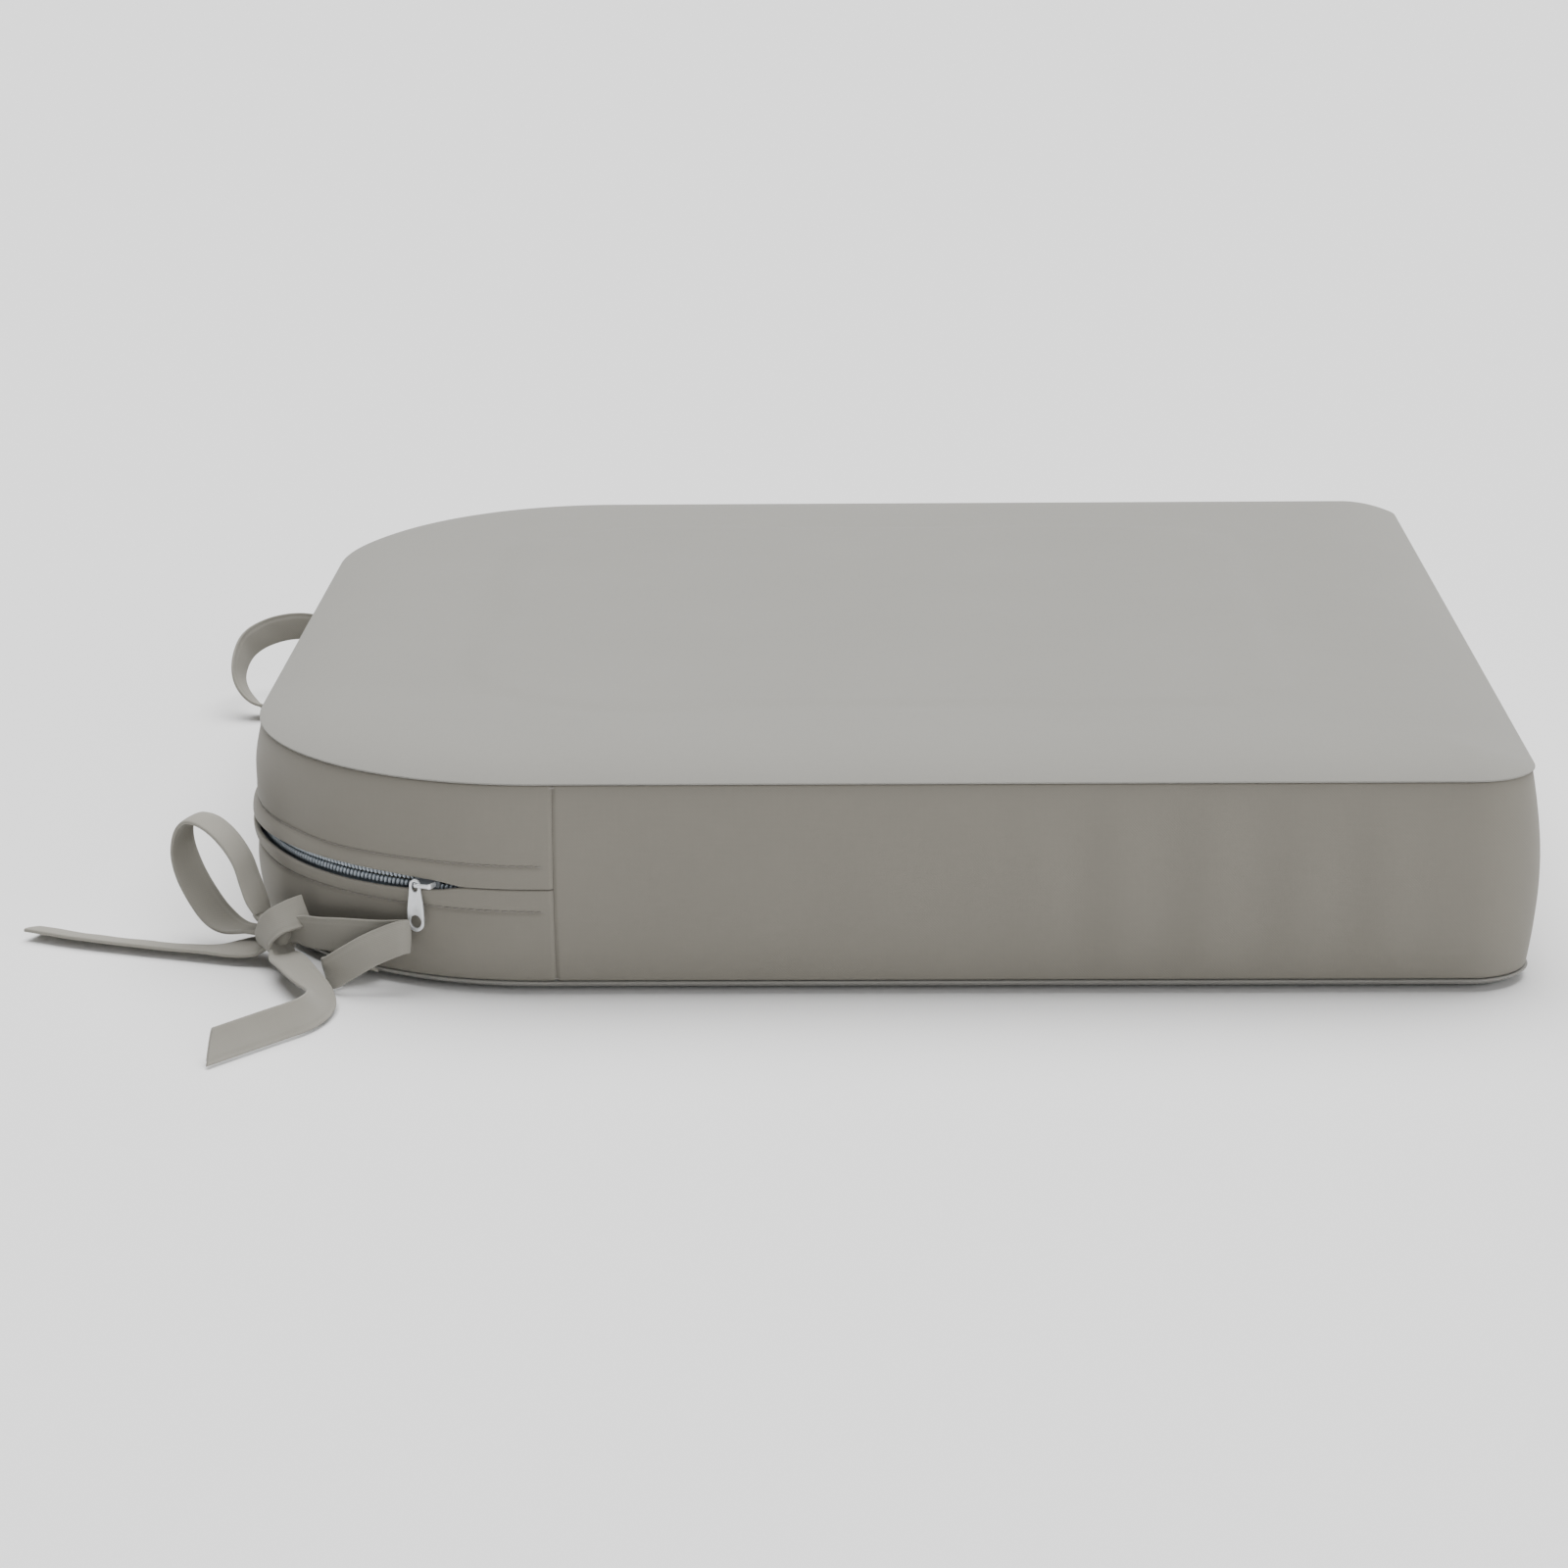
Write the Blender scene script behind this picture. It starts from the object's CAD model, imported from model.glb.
"""Looks of a boxed chair seat pad, with a zip round its back and a bow tie at each back corner.

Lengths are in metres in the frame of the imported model: +Z up, +X towards the front edge, +Y
towards the far side, and the origin on the resting face under the pad's centre. A place on the
boxing is given by the distance s along the seam outline, from the near side seam round the back,
and by its height. A place on the top or bottom is given by its depth inside that outline.
"""
import sys

import logging
import math
from dataclasses import dataclass, field, replace
from enum import Enum
from typing import Sequence

import bpy
import numpy as np
from mathutils import Matrix


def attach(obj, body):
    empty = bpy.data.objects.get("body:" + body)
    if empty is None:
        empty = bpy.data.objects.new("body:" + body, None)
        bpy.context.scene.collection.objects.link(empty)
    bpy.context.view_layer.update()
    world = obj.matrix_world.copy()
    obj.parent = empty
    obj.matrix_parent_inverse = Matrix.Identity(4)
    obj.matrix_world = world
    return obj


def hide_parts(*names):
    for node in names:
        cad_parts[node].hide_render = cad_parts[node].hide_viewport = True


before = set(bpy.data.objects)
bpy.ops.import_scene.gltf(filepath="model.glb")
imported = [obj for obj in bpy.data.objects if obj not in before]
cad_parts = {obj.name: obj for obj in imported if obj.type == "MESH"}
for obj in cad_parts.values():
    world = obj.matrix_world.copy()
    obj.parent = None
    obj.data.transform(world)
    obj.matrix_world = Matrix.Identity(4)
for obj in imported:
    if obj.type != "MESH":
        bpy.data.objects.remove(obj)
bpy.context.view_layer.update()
LOG = logging.getLogger("seat_pad")
Array = np.ndarray
Colour = tuple[float, float, float]


# ---------------------------------------------------------------- meshes


@dataclass
class Patch:
    """A surface on a grid of two parameters, with UVs in metres where it has them.

    Points have the shape (rows, columns, 3), or (copies, rows, columns, 3) for a repeated shape.
    """

    points: Array
    uv: Array | None = None
    rows_closed: bool = False
    cols_closed: bool = False
    capped: bool = False

    def quads(self, first: int) -> Array:
        """Corner indices of every grid cell.

        Args:
            first: index of this patch's first point in the whole mesh.

        Returns:
            One row of four indices for each cell.
        """
        rows, cols = self.points.shape[-3:-1]
        i = np.arange(rows if self.rows_closed else rows - 1)[:, None]
        j = np.arange(cols if self.cols_closed else cols - 1)[None, :]
        below, beside = (i + 1) % rows, (j + 1) % cols
        cells = [i * cols + j, i * cols + beside, below * cols + beside, below * cols + j]
        one = np.stack(cells, axis=-1).reshape(-1, 4) + first
        return (one[None] + self.starts()[:, None, None]).reshape(-1, 4)

    def starts(self) -> Array:
        """Index of the first point of each copy."""
        rows, cols = self.points.shape[-3:-1]
        return np.arange(self.points.size // (3 * rows * cols)) * rows * cols

    def caps(self, first: int) -> list[list[int]]:
        """The two end polygons of an open tube.

        Args:
            first: index of this patch's first point in the whole mesh.

        Returns:
            The first row reversed and the last row, as faces, or nothing if the patch has no caps.
        """
        if not self.capped:
            return []
        rows, cols = self.points.shape[-3:-1]
        start = np.arange(cols)[::-1] + first
        end = np.arange(cols) + first + (rows - 1) * cols
        both = np.stack([start, end])[None] + self.starts()[:, None, None]
        return both.reshape(-1, cols).tolist()

    def corner_uvs(self) -> Array:
        """UVs of the corners of every cell and cap, in the order of the faces."""
        rows, cols = self.points.shape[-3:-1]
        if self.uv is None:
            flat = np.zeros((self.quads(0).size, 2))
        else:
            i = np.arange(rows if self.rows_closed else rows - 1)[:, None]
            j = np.arange(cols if self.cols_closed else cols - 1)[None, :]
            pick = [self.uv[i, j], self.uv[i, j + 1], self.uv[i + 1, j + 1], self.uv[i + 1, j]]
            flat = np.stack(pick, axis=2).reshape(-1, 2)
        return flat

    def volume(self) -> float:
        """Signed volume: a sixth of the triple products of its cells' halves and of its caps."""
        flat = self.points.reshape(-1, 3)
        a, b, c, d = (flat[self.quads(0)[:, k]] for k in range(4))
        total = (a * (np.cross(b, c) + np.cross(c, d))).sum()
        if self.capped:
            ring = flat[np.array(self.caps(0))]
            area = np.cross(ring, np.roll(ring, -1, axis=1)).sum(axis=1)
            total += (ring.mean(axis=1) * area).sum()
        return float(total / 6)


def make_piece(name: str, patches: Sequence[Patch], sharp: float = 180.0) -> bpy.types.Object:
    """One object from patches that together are one or more closed shells, faces outwards.

    Args:
        name: the piece's name.
        patches: its surfaces.
        sharp: edges that turn by more than this many degrees stay crisp.

    Returns:
        The new object, at the origin.
    """
    points, faces, uvs, first = [], [], [], 0
    volume = 0.0
    for patch in patches:
        flat = patch.points.reshape(-1, 3)
        quads = patch.quads(first)
        caps = patch.caps(first)
        points.append(flat)
        faces += quads.tolist() + caps
        uvs.append(patch.corner_uvs())
        uvs += [np.zeros((len(cap), 2)) for cap in caps]
        volume += patch.volume()
        first += len(flat)
    mesh = bpy.data.meshes.new(name)
    corner_uv = np.concatenate(uvs)
    if volume < 0:
        sizes = np.array([len(face) for face in faces])
        ends = np.cumsum(sizes)
        order = np.repeat(ends - 1, sizes) - (np.arange(sizes.sum()) - np.repeat(ends - sizes, sizes))
        corner_uv = corner_uv[order]
        faces = [face[::-1] for face in faces]
    mesh.from_pydata(np.concatenate(points), [], faces)
    layer = mesh.uv_layers.new(name="UVMap")
    layer.data.foreach_set("uv", corner_uv.ravel().astype(np.float32))
    mesh.shade_smooth()
    if sharp < 180.0:
        mesh.set_sharp_from_angle(angle=math.radians(sharp))
    piece = bpy.data.objects.new(name, mesh)
    bpy.context.scene.collection.objects.link(piece)
    return piece


def apply_modifiers(piece: bpy.types.Object) -> None:
    """Replace a piece's mesh by what its modifiers make of it."""
    shown = piece.evaluated_get(bpy.context.evaluated_depsgraph_get())
    mesh = bpy.data.meshes.new_from_object(shown)
    piece.modifiers.clear()
    old = piece.data
    piece.data = mesh
    bpy.data.meshes.remove(old)


def smooth_step(low: float, high: float, x: Array) -> Array:
    """3t^2 - 2t^3 of the share t of x between low and high, held at 0 and 1 outside."""
    t = np.clip((x - low) / (high - low), 0.0, 1.0)
    return t * t * (3 - 2 * t)


def hump(x: Array, centre: float, width: float) -> Array:
    """Bell of height 1 about centre: the exponential of minus the squared distance in widths."""
    return np.exp(-(((x - centre) / width) ** 2))


def read_table(table: Array, u: Array, v: Array) -> Array:
    """Bilinear reading of a table at fractional rows u and columns v, held at its edges."""
    u = np.clip(u, 0, table.shape[0] - 1.000001)
    v = np.clip(v, 0, table.shape[1] - 1.000001)
    i, j = u.astype(int), v.astype(int)
    p, q = u - i, v - j
    low = table[i, j] * (1 - q) + table[i, j + 1] * q
    high = table[i + 1, j] * (1 - q) + table[i + 1, j + 1] * q
    return low * (1 - p) + high * p


def cubic_rows(values: Array, out: int, closed: bool = False) -> Array:
    """Catmull-Rom interpolation of the rows of an array onto more rows, evenly spread.

    Args:
        values: the known rows.
        out: how many rows to make.
        closed: whether the last row is followed by the first.

    Returns:
        The new rows: 0.5 (2b + (c-a)t + (2a-5b+4c-d)t^2 + (3b-a-3c+d)t^3) in each interval.
    """
    count = len(values)
    places = np.arange(out) * (count / out if closed else (count - 1) / (out - 1))
    base = np.floor(places).astype(int)
    if not closed:
        base = np.minimum(base, count - 2)
    t = (places - base).reshape((-1,) + (1,) * (values.ndim - 1))
    near = [base - 1, base, base + 1, base + 2]
    picks = [n % count if closed else np.clip(n, 0, count - 1) for n in near]
    a, b, c, d = (values[n] for n in picks)
    return 0.5 * (2 * b + (c - a) * t + (2 * a - 5 * b + 4 * c - d) * t ** 2
                  + (3 * b - a - 3 * c + d) * t ** 3)


# ---------------------------------------------------------------- materials


class Value:
    """A number that varies over a surface: Python's operators on it add Math nodes."""

    def __init__(self, book: "NodeBook", socket: bpy.types.NodeSocket) -> None:
        """Wrap an output socket of the book's node tree."""
        self.book = book
        self.socket = socket

    def math(self, operation: str, *others: "Value | float") -> "Value":
        """A Math node on this value and up to two others.

        Args:
            operation: the node's operation.
            others: its other values.

        Returns:
            The node's output.
        """
        values = dict(enumerate((self, *others)))
        return self.book.value("ShaderNodeMath", {"operation": operation}, values)

    def __add__(self, other: "Value | float") -> "Value":
        """Sum."""
        return self.math("ADD", other)

    def __mul__(self, other: "Value | float") -> "Value":
        """Product."""
        return self.math("MULTIPLY", other)

    __radd__ = __add__
    __rmul__ = __mul__


class NodeBook:
    """The node tree of one new material, and the few ways in which nodes are added to it."""

    def __init__(self, name: str) -> None:
        """Start a material with a Principled shader."""
        self.material = bpy.data.materials.new(name)
        self.material.use_nodes = True
        self.tree = self.material.node_tree
        self.shader = self.tree.nodes["Principled BSDF"]

    def node(self, kind: str, settings: dict, sockets: dict) -> bpy.types.Node:
        """Add a node.

        Args:
            kind: the node's type.
            settings: attributes to set first.
            sockets: a value, colour or link for each input, by name or number.

        Returns:
            The node.
        """
        made = self.tree.nodes.new(kind)
        for key, setting in settings.items():
            setattr(made, key, setting)
        for key, given in sockets.items():
            if isinstance(given, Value):
                self.tree.links.new(given.socket, made.inputs[key])
            elif isinstance(given, bpy.types.NodeSocket):
                self.tree.links.new(given, made.inputs[key])
            else:
                made.inputs[key].default_value = given
        return made

    def value(self, kind: str, settings: dict, sockets: dict, output: int | str = 0) -> Value:
        """Add a node and take one of its outputs as a value."""
        return Value(self, self.node(kind, settings, sockets).outputs[output])

    def place(self, source: str = "Object") -> bpy.types.NodeSocket:
        """Texture coordinates on the piece: Object, or UV where a pattern follows its surface."""
        return self.node("ShaderNodeTexCoord", {}, {}).outputs[source]

    def noise(self, where: bpy.types.NodeSocket, scale: float, detail: float = 2.0) -> Value:
        """Noise of the given scale per metre, from 0 to 1."""
        return self.value("ShaderNodeTexNoise", {}, {"Vector": where, "Scale": scale, "Detail": detail})

    def stretched(self, where: bpy.types.NodeSocket, scale: Colour) -> bpy.types.NodeSocket:
        """Coordinates scaled differently along each axis."""
        return self.node("ShaderNodeMapping", {}, {"Vector": where, "Scale": scale}).outputs[0]

    def mixed(self, share: Value, low: Colour, high: Colour) -> bpy.types.NodeSocket:
        """Colour between low and high by a share."""
        made = self.node("ShaderNodeMix", {"data_type": "RGBA"},
                         {0: share, 6: (*low, 1.0), 7: (*high, 1.0)})
        return made.outputs[2]

    def weave(self, where: bpy.types.NodeSocket, pitch: float) -> Value:
        """Plain weave: the product of sines across both thread directions, from 0 to 1."""
        split = self.node("ShaderNodeSeparateXYZ", {}, {0: where})
        across = Value(self, split.outputs[0]) * (math.pi / pitch)
        along = Value(self, split.outputs[1]) * (math.pi / pitch)
        return across.math("SINE") * along.math("SINE") * 0.5 + 0.5

    def bump(self, height: Value, distance: float) -> None:
        """Drive the shader's normal by a height, as deep as distance where it goes from 0 to 1."""
        made = self.node("ShaderNodeBump", {}, {"Height": height, "Distance": distance, "Strength": 1.0})
        self.tree.links.new(made.outputs[0], self.shader.inputs["Normal"])

    def feed(self, socket: str, given: "Value | bpy.types.NodeSocket") -> None:
        """Link something that varies into one of the shader's inputs."""
        link = given.socket if isinstance(given, Value) else given
        self.tree.links.new(link, self.shader.inputs[socket])

    def fixed(self, **values: float) -> None:
        """Set the shader's plain inputs, with underscores for spaces in their names."""
        for key, number in values.items():
            self.shader.inputs[key.replace("_", " ")].default_value = number


@dataclass(frozen=True)
class ClothFinish:
    """Smooth, matt plain-woven cloth, coloured in two close shades by its threads and wear."""

    name: str
    colour: Colour
    pitch: float = 0.00055
    follow: str = "Object"
    bump_depth: float = 0.00004

    def build(self) -> bpy.types.Material:
        """Make the material: weave and slubs in the bump, cloudy shade in colour and roughness."""
        book = NodeBook(self.name)
        where = book.place(self.follow)
        place = book.place()
        clouds = book.noise(place, 14.0, 3.0)
        slubs = book.noise(book.stretched(where, (900.0, 90.0, 900.0)), 1.0, 1.0)
        picks = book.noise(book.stretched(where, (90.0, 900.0, 90.0)), 1.0, 1.0)
        weave = book.weave(where, self.pitch)
        threads = slubs * 0.5 + picks * 0.5
        shade = clouds * 0.45 + threads * 0.35 + weave * 0.20
        dark = tuple(c * 0.90 for c in self.colour)
        light = tuple(min(c * 1.10, 1.0) for c in self.colour)
        book.feed("Base Color", book.mixed(shade, dark, light))
        book.feed("Roughness", clouds * 0.08 + 0.84)
        book.fixed(Sheen_Weight=0.12, Sheen_Roughness=0.5, Specular_IOR_Level=0.25)
        book.bump(weave * 0.6 + threads * 0.4, self.bump_depth)
        return book.material


@dataclass(frozen=True)
class TapeFinish:
    """Knitted zip tape, with ribs along its length."""

    name: str
    colour: Colour
    rib: float = 0.0007

    def build(self) -> bpy.types.Material:
        """Make the material: ribs of a sine across the tape, and fine knit noise."""
        book = NodeBook(self.name)
        split = book.node("ShaderNodeSeparateXYZ", {}, {0: book.place("UV")})
        ribs = (Value(book, split.outputs[1]) * (2 * math.pi / self.rib)).math("SINE") * 0.5 + 0.5
        knit = (Value(book, split.outputs[0]) * (2 * math.pi / 0.0011)).math("SINE") * 0.5 + 0.5
        mottle = book.noise(book.place(), 240.0)
        shade = ribs * 0.4 + knit * 0.2 + mottle * 0.4
        dark = tuple(c * 0.75 for c in self.colour)
        light = tuple(min(c * 1.2, 1.0) for c in self.colour)
        book.feed("Base Color", book.mixed(shade, dark, light))
        book.feed("Roughness", mottle * 0.1 + 0.75)
        book.bump(ribs * 0.7 + knit * 0.3, 0.00008)
        return book.material


@dataclass(frozen=True)
class CoilFinish:
    """Satin moulded nylon of the zip's teeth."""

    name: str
    colour: Colour

    def build(self) -> bpy.types.Material:
        """Make the material: faint shade and roughness changes from tooth to tooth."""
        book = NodeBook(self.name)
        where = book.place()
        drift = book.noise(where, 320.0)
        grain = book.noise(where, 5200.0, 1.0)
        low = tuple(c * 0.85 for c in self.colour)
        high = tuple(min(c * 1.15, 1.0) for c in self.colour)
        book.feed("Base Color", book.mixed(drift, low, high))
        book.feed("Roughness", grain * 0.15 + 0.30)
        book.bump(grain, 0.00001)
        return book.material


@dataclass(frozen=True)
class MetalFinish:
    """Die-cast metal, bare or painted, with tumbled wear."""

    name: str
    colour: Colour
    metallic: float
    roughness: float

    def build(self) -> bpy.types.Material:
        """Make the material: cloudy shade, fine orange peel and a few short scratches."""
        book = NodeBook(self.name)
        where = book.place()
        clouds = book.noise(where, 420.0, 3.0)
        scratches = book.noise(book.stretched(where, (9000.0, 9000.0, 700.0)), 1.0, 1.0)
        low = tuple(c * 0.90 for c in self.colour)
        high = tuple(min(c * 1.08, 1.0) for c in self.colour)
        book.feed("Base Color", book.mixed(clouds, low, high))
        book.feed("Roughness", clouds * 0.10 + scratches * 0.08 + (self.roughness - 0.09))
        book.fixed(Metallic=self.metallic)
        book.bump(clouds * 0.6 + scratches * 0.4, 0.00002)
        return book.material


@dataclass(frozen=True)
class ThreadFinish:
    """Twisted sewing thread."""

    name: str
    colour: Colour

    def build(self) -> bpy.types.Material:
        """Make the material: a fine twist, made of close noise."""
        book = NodeBook(self.name)
        twist = book.noise(book.place(), 4200.0, 1.0)
        low = tuple(c * 0.8 for c in self.colour)
        high = tuple(min(c * 1.15, 1.0) for c in self.colour)
        book.feed("Base Color", book.mixed(twist, low, high))
        book.feed("Roughness", twist * 0.2 + 0.6)
        book.bump(twist, 0.00003)
        return book.material


@dataclass(frozen=True)
class FillingFinish:
    """Open-cell foam or fibre wadding, which the closed cover hides."""

    name: str
    colour: Colour
    cell: float

    def build(self) -> bpy.types.Material:
        """Make the material: pits of a Voronoi pattern of the given cell size."""
        book = NodeBook(self.name)
        cells = book.value("ShaderNodeTexVoronoi", {}, {"Vector": book.place(), "Scale": 1 / self.cell})
        low = tuple(c * 0.7 for c in self.colour)
        book.feed("Base Color", book.mixed(cells, low, self.colour))
        book.feed("Roughness", cells * 0.1 + 0.85)
        book.bump(cells, self.cell * 0.4)
        return book.material


@dataclass(frozen=True)
class FloorFinish:
    """Plain pale studio floor."""

    name: str = "studio_floor"
    colour: Colour = (0.84, 0.84, 0.84)

    def build(self) -> bpy.types.Material:
        """Make the material: one pale shade, barely mottled."""
        book = NodeBook(self.name)
        drift = book.noise(book.place(), 3.0)
        low = tuple(c * 0.995 for c in self.colour)
        book.feed("Base Color", book.mixed(drift, low, self.colour))
        book.fixed(Roughness=0.9, Specular_IOR_Level=0.1)
        return book.material


class Finish(Enum):
    """Every finish of the pad, by the record's slot where it has one."""

    COVER = "cover_fabric"
    BOXING = "cover_fabric:boxing"
    TIES = "tie_fabric"
    TAPE = "zip_tape"
    COIL = "zip_coil"
    THREAD = "thread"
    SLIDER = "slider_paint"
    PULL = "pull_metal"
    FOAM = "foam"
    WADDING = "wadding"

    @property
    def slot(self) -> str:
        """The record's material slot."""
        return self.value.split(":")[0]


class Wardrobe:
    """Makes each finish once and dresses pieces in it."""

    recipes = {
        Finish.COVER: ClothFinish("cover_cloth", (0.243, 0.238, 0.218)),
        Finish.BOXING: ClothFinish("boxing_cloth", (0.202, 0.190, 0.162), follow="UV"),
        Finish.TIES: ClothFinish("tie_cloth", (0.252, 0.241, 0.210), follow="UV", bump_depth=0.00005),
        Finish.TAPE: TapeFinish("knitted_tape", (0.24, 0.28, 0.32)),
        Finish.COIL: CoilFinish("nylon_coil", (0.42, 0.47, 0.52)),
        Finish.THREAD: ThreadFinish("sewing_thread", (0.23, 0.217, 0.195)),
        Finish.SLIDER: MetalFinish("painted_slider", (0.10, 0.11, 0.12), 0.3, 0.42),
        Finish.PULL: MetalFinish("bright_die_cast", (0.74, 0.76, 0.78), 0.65, 0.38),
        Finish.FOAM: FillingFinish("seat_foam", (0.80, 0.76, 0.62), 0.0012),
        Finish.WADDING: FillingFinish("fibre_wadding", (0.88, 0.88, 0.86), 0.0030),
    }

    def __init__(self) -> None:
        """Start with nothing made."""
        self.made: dict[Finish, bpy.types.Material] = {}

    def material(self, finish: Finish) -> bpy.types.Material:
        """The finish's material, made on first use."""
        if finish not in self.made:
            self.made[finish] = self.recipes[finish].build()
        return self.made[finish]

    def dress(self, piece: bpy.types.Object, finish: Finish, body: str, nodes: Sequence[str] = ()) -> None:
        """Give a new piece its material, body, record slot and the nodes that it stands for.

        Args:
            piece: the piece.
            finish: its finish.
            body: the body that it rides on.
            nodes: CAD nodes that it replaces.
        """
        piece.data.materials.clear()
        piece.data.materials.append(self.material(finish))
        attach(piece, body)
        if nodes:
            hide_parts(*nodes)
        LOG.info("%s: %d faces, %s, on %s", piece.name, len(piece.data.polygons), finish.slot, body)

    def redress(self, node: str, finish: Finish) -> None:
        """Give a kept CAD node a better material in each of its slots."""
        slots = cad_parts[node].material_slots
        for slot in slots:
            slot.material = self.material(finish)
        LOG.info("%s: kept, %s", node, finish.slot)


# ---------------------------------------------------------------- the pad's shape


@dataclass(frozen=True)
class PadShape:
    """Sizes of the cover, and the outline and heights that every piece is set out from."""

    half: float = 0.250
    back_radius: float = 0.120
    front_radius: float = 0.025
    seam_low: float = 0.0040
    seam_high: float = 0.0830
    swell: float = 0.0045
    crown: float = 0.0087
    top_roll: float = 0.060
    bottom_roll: float = 0.040
    cloth: float = 0.0008
    zip_z: float = 0.0430
    table: Array = field(init=False, repr=False, default=None)

    def __post_init__(self) -> None:
        """Tabulate the outline once: arc length, x, y and the angle of the outward normal."""
        side, front = self.half - self.back_radius, self.half - self.front_radius
        arcs = [(-side, -side, self.back_radius, -90.0), (-side, side, self.back_radius, -180.0),
                (front, front, self.front_radius, -270.0), (front, -front, self.front_radius, -360.0)]
        rows = []
        for x, y, radius, start in arcs:
            angle = np.radians(np.linspace(start, start - 90.0, 241))
            rows.append(np.stack([x + radius * np.cos(angle), y + radius * np.sin(angle), angle], 1))
        closing = np.array([[-side, -self.half, math.radians(-450.0)]])
        joined = np.vstack(rows + [closing])
        step = np.hypot(*np.diff(joined[:, :2], axis=0).T)
        length = np.concatenate([[0.0], np.cumsum(step)])
        object.__setattr__(self, "table", np.column_stack([length, joined]))

    @property
    def around(self) -> float:
        """Length of the whole outline."""
        return float(self.table[-1, 0])

    @property
    def back_length(self) -> float:
        """Length of the zipped part, from side seam to side seam round the back."""
        return math.pi * self.back_radius + 2 * (self.half - self.back_radius)

    def outline(self, s: Array) -> tuple[Array, Array]:
        """Points on the outline and their outward normals.

        Args:
            s: distances along the outline, of any shape.

        Returns:
            Two arrays of the shape of s with (x, y) last, read from the table by interpolation.
        """
        place = np.mod(s, self.around)
        x, y, angle = (np.interp(place, self.table[:, 0], self.table[:, k]) for k in (1, 2, 3))
        return np.stack([x, y], -1), np.stack([np.cos(angle), np.sin(angle)], -1)

    def wall(self, s: Array, out: Array, z: Array) -> Array:
        """Points at a distance outside the outline and at a height: outline + normal times out."""
        point, normal = self.outline(s)
        flat = point + normal * out[..., None]
        return np.concatenate([flat, np.broadcast_to(z, s.shape)[..., None]], -1)

    def bulge(self, z: Array) -> Array:
        """Swell of the boxing at a height: a parabola, nil at the seams."""
        share = (z - (self.seam_low + self.seam_high) / 2) / ((self.seam_high - self.seam_low) / 2)
        return self.swell * (1 - share ** 2)

    def depth(self, xy: Array) -> Array:
        """Distance inside the outline: a rounded square's, with larger corners at the back."""
        radius = np.where(xy[..., 0] < 0, self.back_radius, self.front_radius)
        corner = np.abs(xy) - self.half + radius[..., None]
        outside = np.linalg.norm(np.maximum(corner, 0.0), axis=-1)
        inside = np.minimum(corner.max(axis=-1), 0.0)
        return radius - outside - inside

    @staticmethod
    def margin(depth: Array, roll: float, power: float = 2.5) -> Array:
        """Share of the full rise: 1 less the part of the roll that is left, to the given power."""
        return 1 - (1 - np.clip(depth / roll, 0.0, 1.0)) ** power

    def corner_angle(self, s: Array) -> Array:
        """Degrees round the near back corner, from the side seam."""
        return np.degrees(s / self.back_radius)


@dataclass(frozen=True)
class PanelGrid:
    """Square grid that is laid over the pad: nested rings of the outline, nearer at the edge.

    Ring k of a square grid has 8k points. They lie on the outline scaled about the pad's centre,
    and the grid's four corners lie at the middles of the pad's four corners.
    """

    shape: PadShape
    rings: int
    edge: tuple[float, ...] = (0.0, 0.0004, 0.0009, 0.0016, 0.0026, 0.0040, 0.0060, 0.0085, 0.0115)
    edge_width: float = 0.015

    def reach(self) -> Array:
        """Scale of each ring, from 0 at the centre to 1 at the outline."""
        inner = np.linspace(self.shape.half, self.edge_width, self.rings + 1 - len(self.edge))
        depth = np.concatenate([inner, self.edge[::-1]])
        return 1 - depth / self.shape.half

    def corners(self) -> Array:
        """Distance along the outline of the four grid corners, and of the first one again."""
        shape = self.shape
        back, front = math.pi / 4 * shape.back_radius, math.pi / 4 * shape.front_radius
        first = back
        second = shape.back_length - back
        third = shape.back_length + 2 * shape.half - shape.back_radius - shape.front_radius + front
        fourth = third + 2 * front + 2 * (shape.half - shape.front_radius)
        return np.array([first, second, third, fourth, first + shape.around])

    def lay(self) -> tuple[Array, Array]:
        """Lay the grid.

        Returns:
            The (n, n, 2) points over the pad, and each point's distance s along the outline.
        """
        line = np.arange(-self.rings, self.rings + 1)
        i, j = np.meshgrid(line, line, indexing="ij")
        ring = np.maximum(np.maximum(np.abs(i), np.abs(j)), 1)
        # Way round each square ring, in quarter turns: along one side, then the next.
        side = [i == -ring, j == ring, i == ring]
        way = np.select(side, [(j + ring) / (2 * ring), 1 + (i + ring) / (2 * ring),
                               2 + (ring - j) / (2 * ring)], 3 + (ring - i) / (2 * ring))
        s = np.interp(way, np.arange(5), self.corners())
        point, _ = self.shape.outline(s)
        scale = self.reach()[np.maximum(np.abs(i), np.abs(j))]
        return point * scale[..., None], s

    def border(self) -> tuple[Array, Array]:
        """Grid indices of the outer ring's points, in order along the outline."""
        last, line = 2 * self.rings, np.arange(2 * self.rings)
        low, high = np.zeros_like(line), np.full_like(line, last)
        rows = np.concatenate([low, line, high, last - line])
        cols = np.concatenate([line, high, last - line, low])
        return rows, cols


# ---------------------------------------------------------------- cloth simulation


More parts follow.
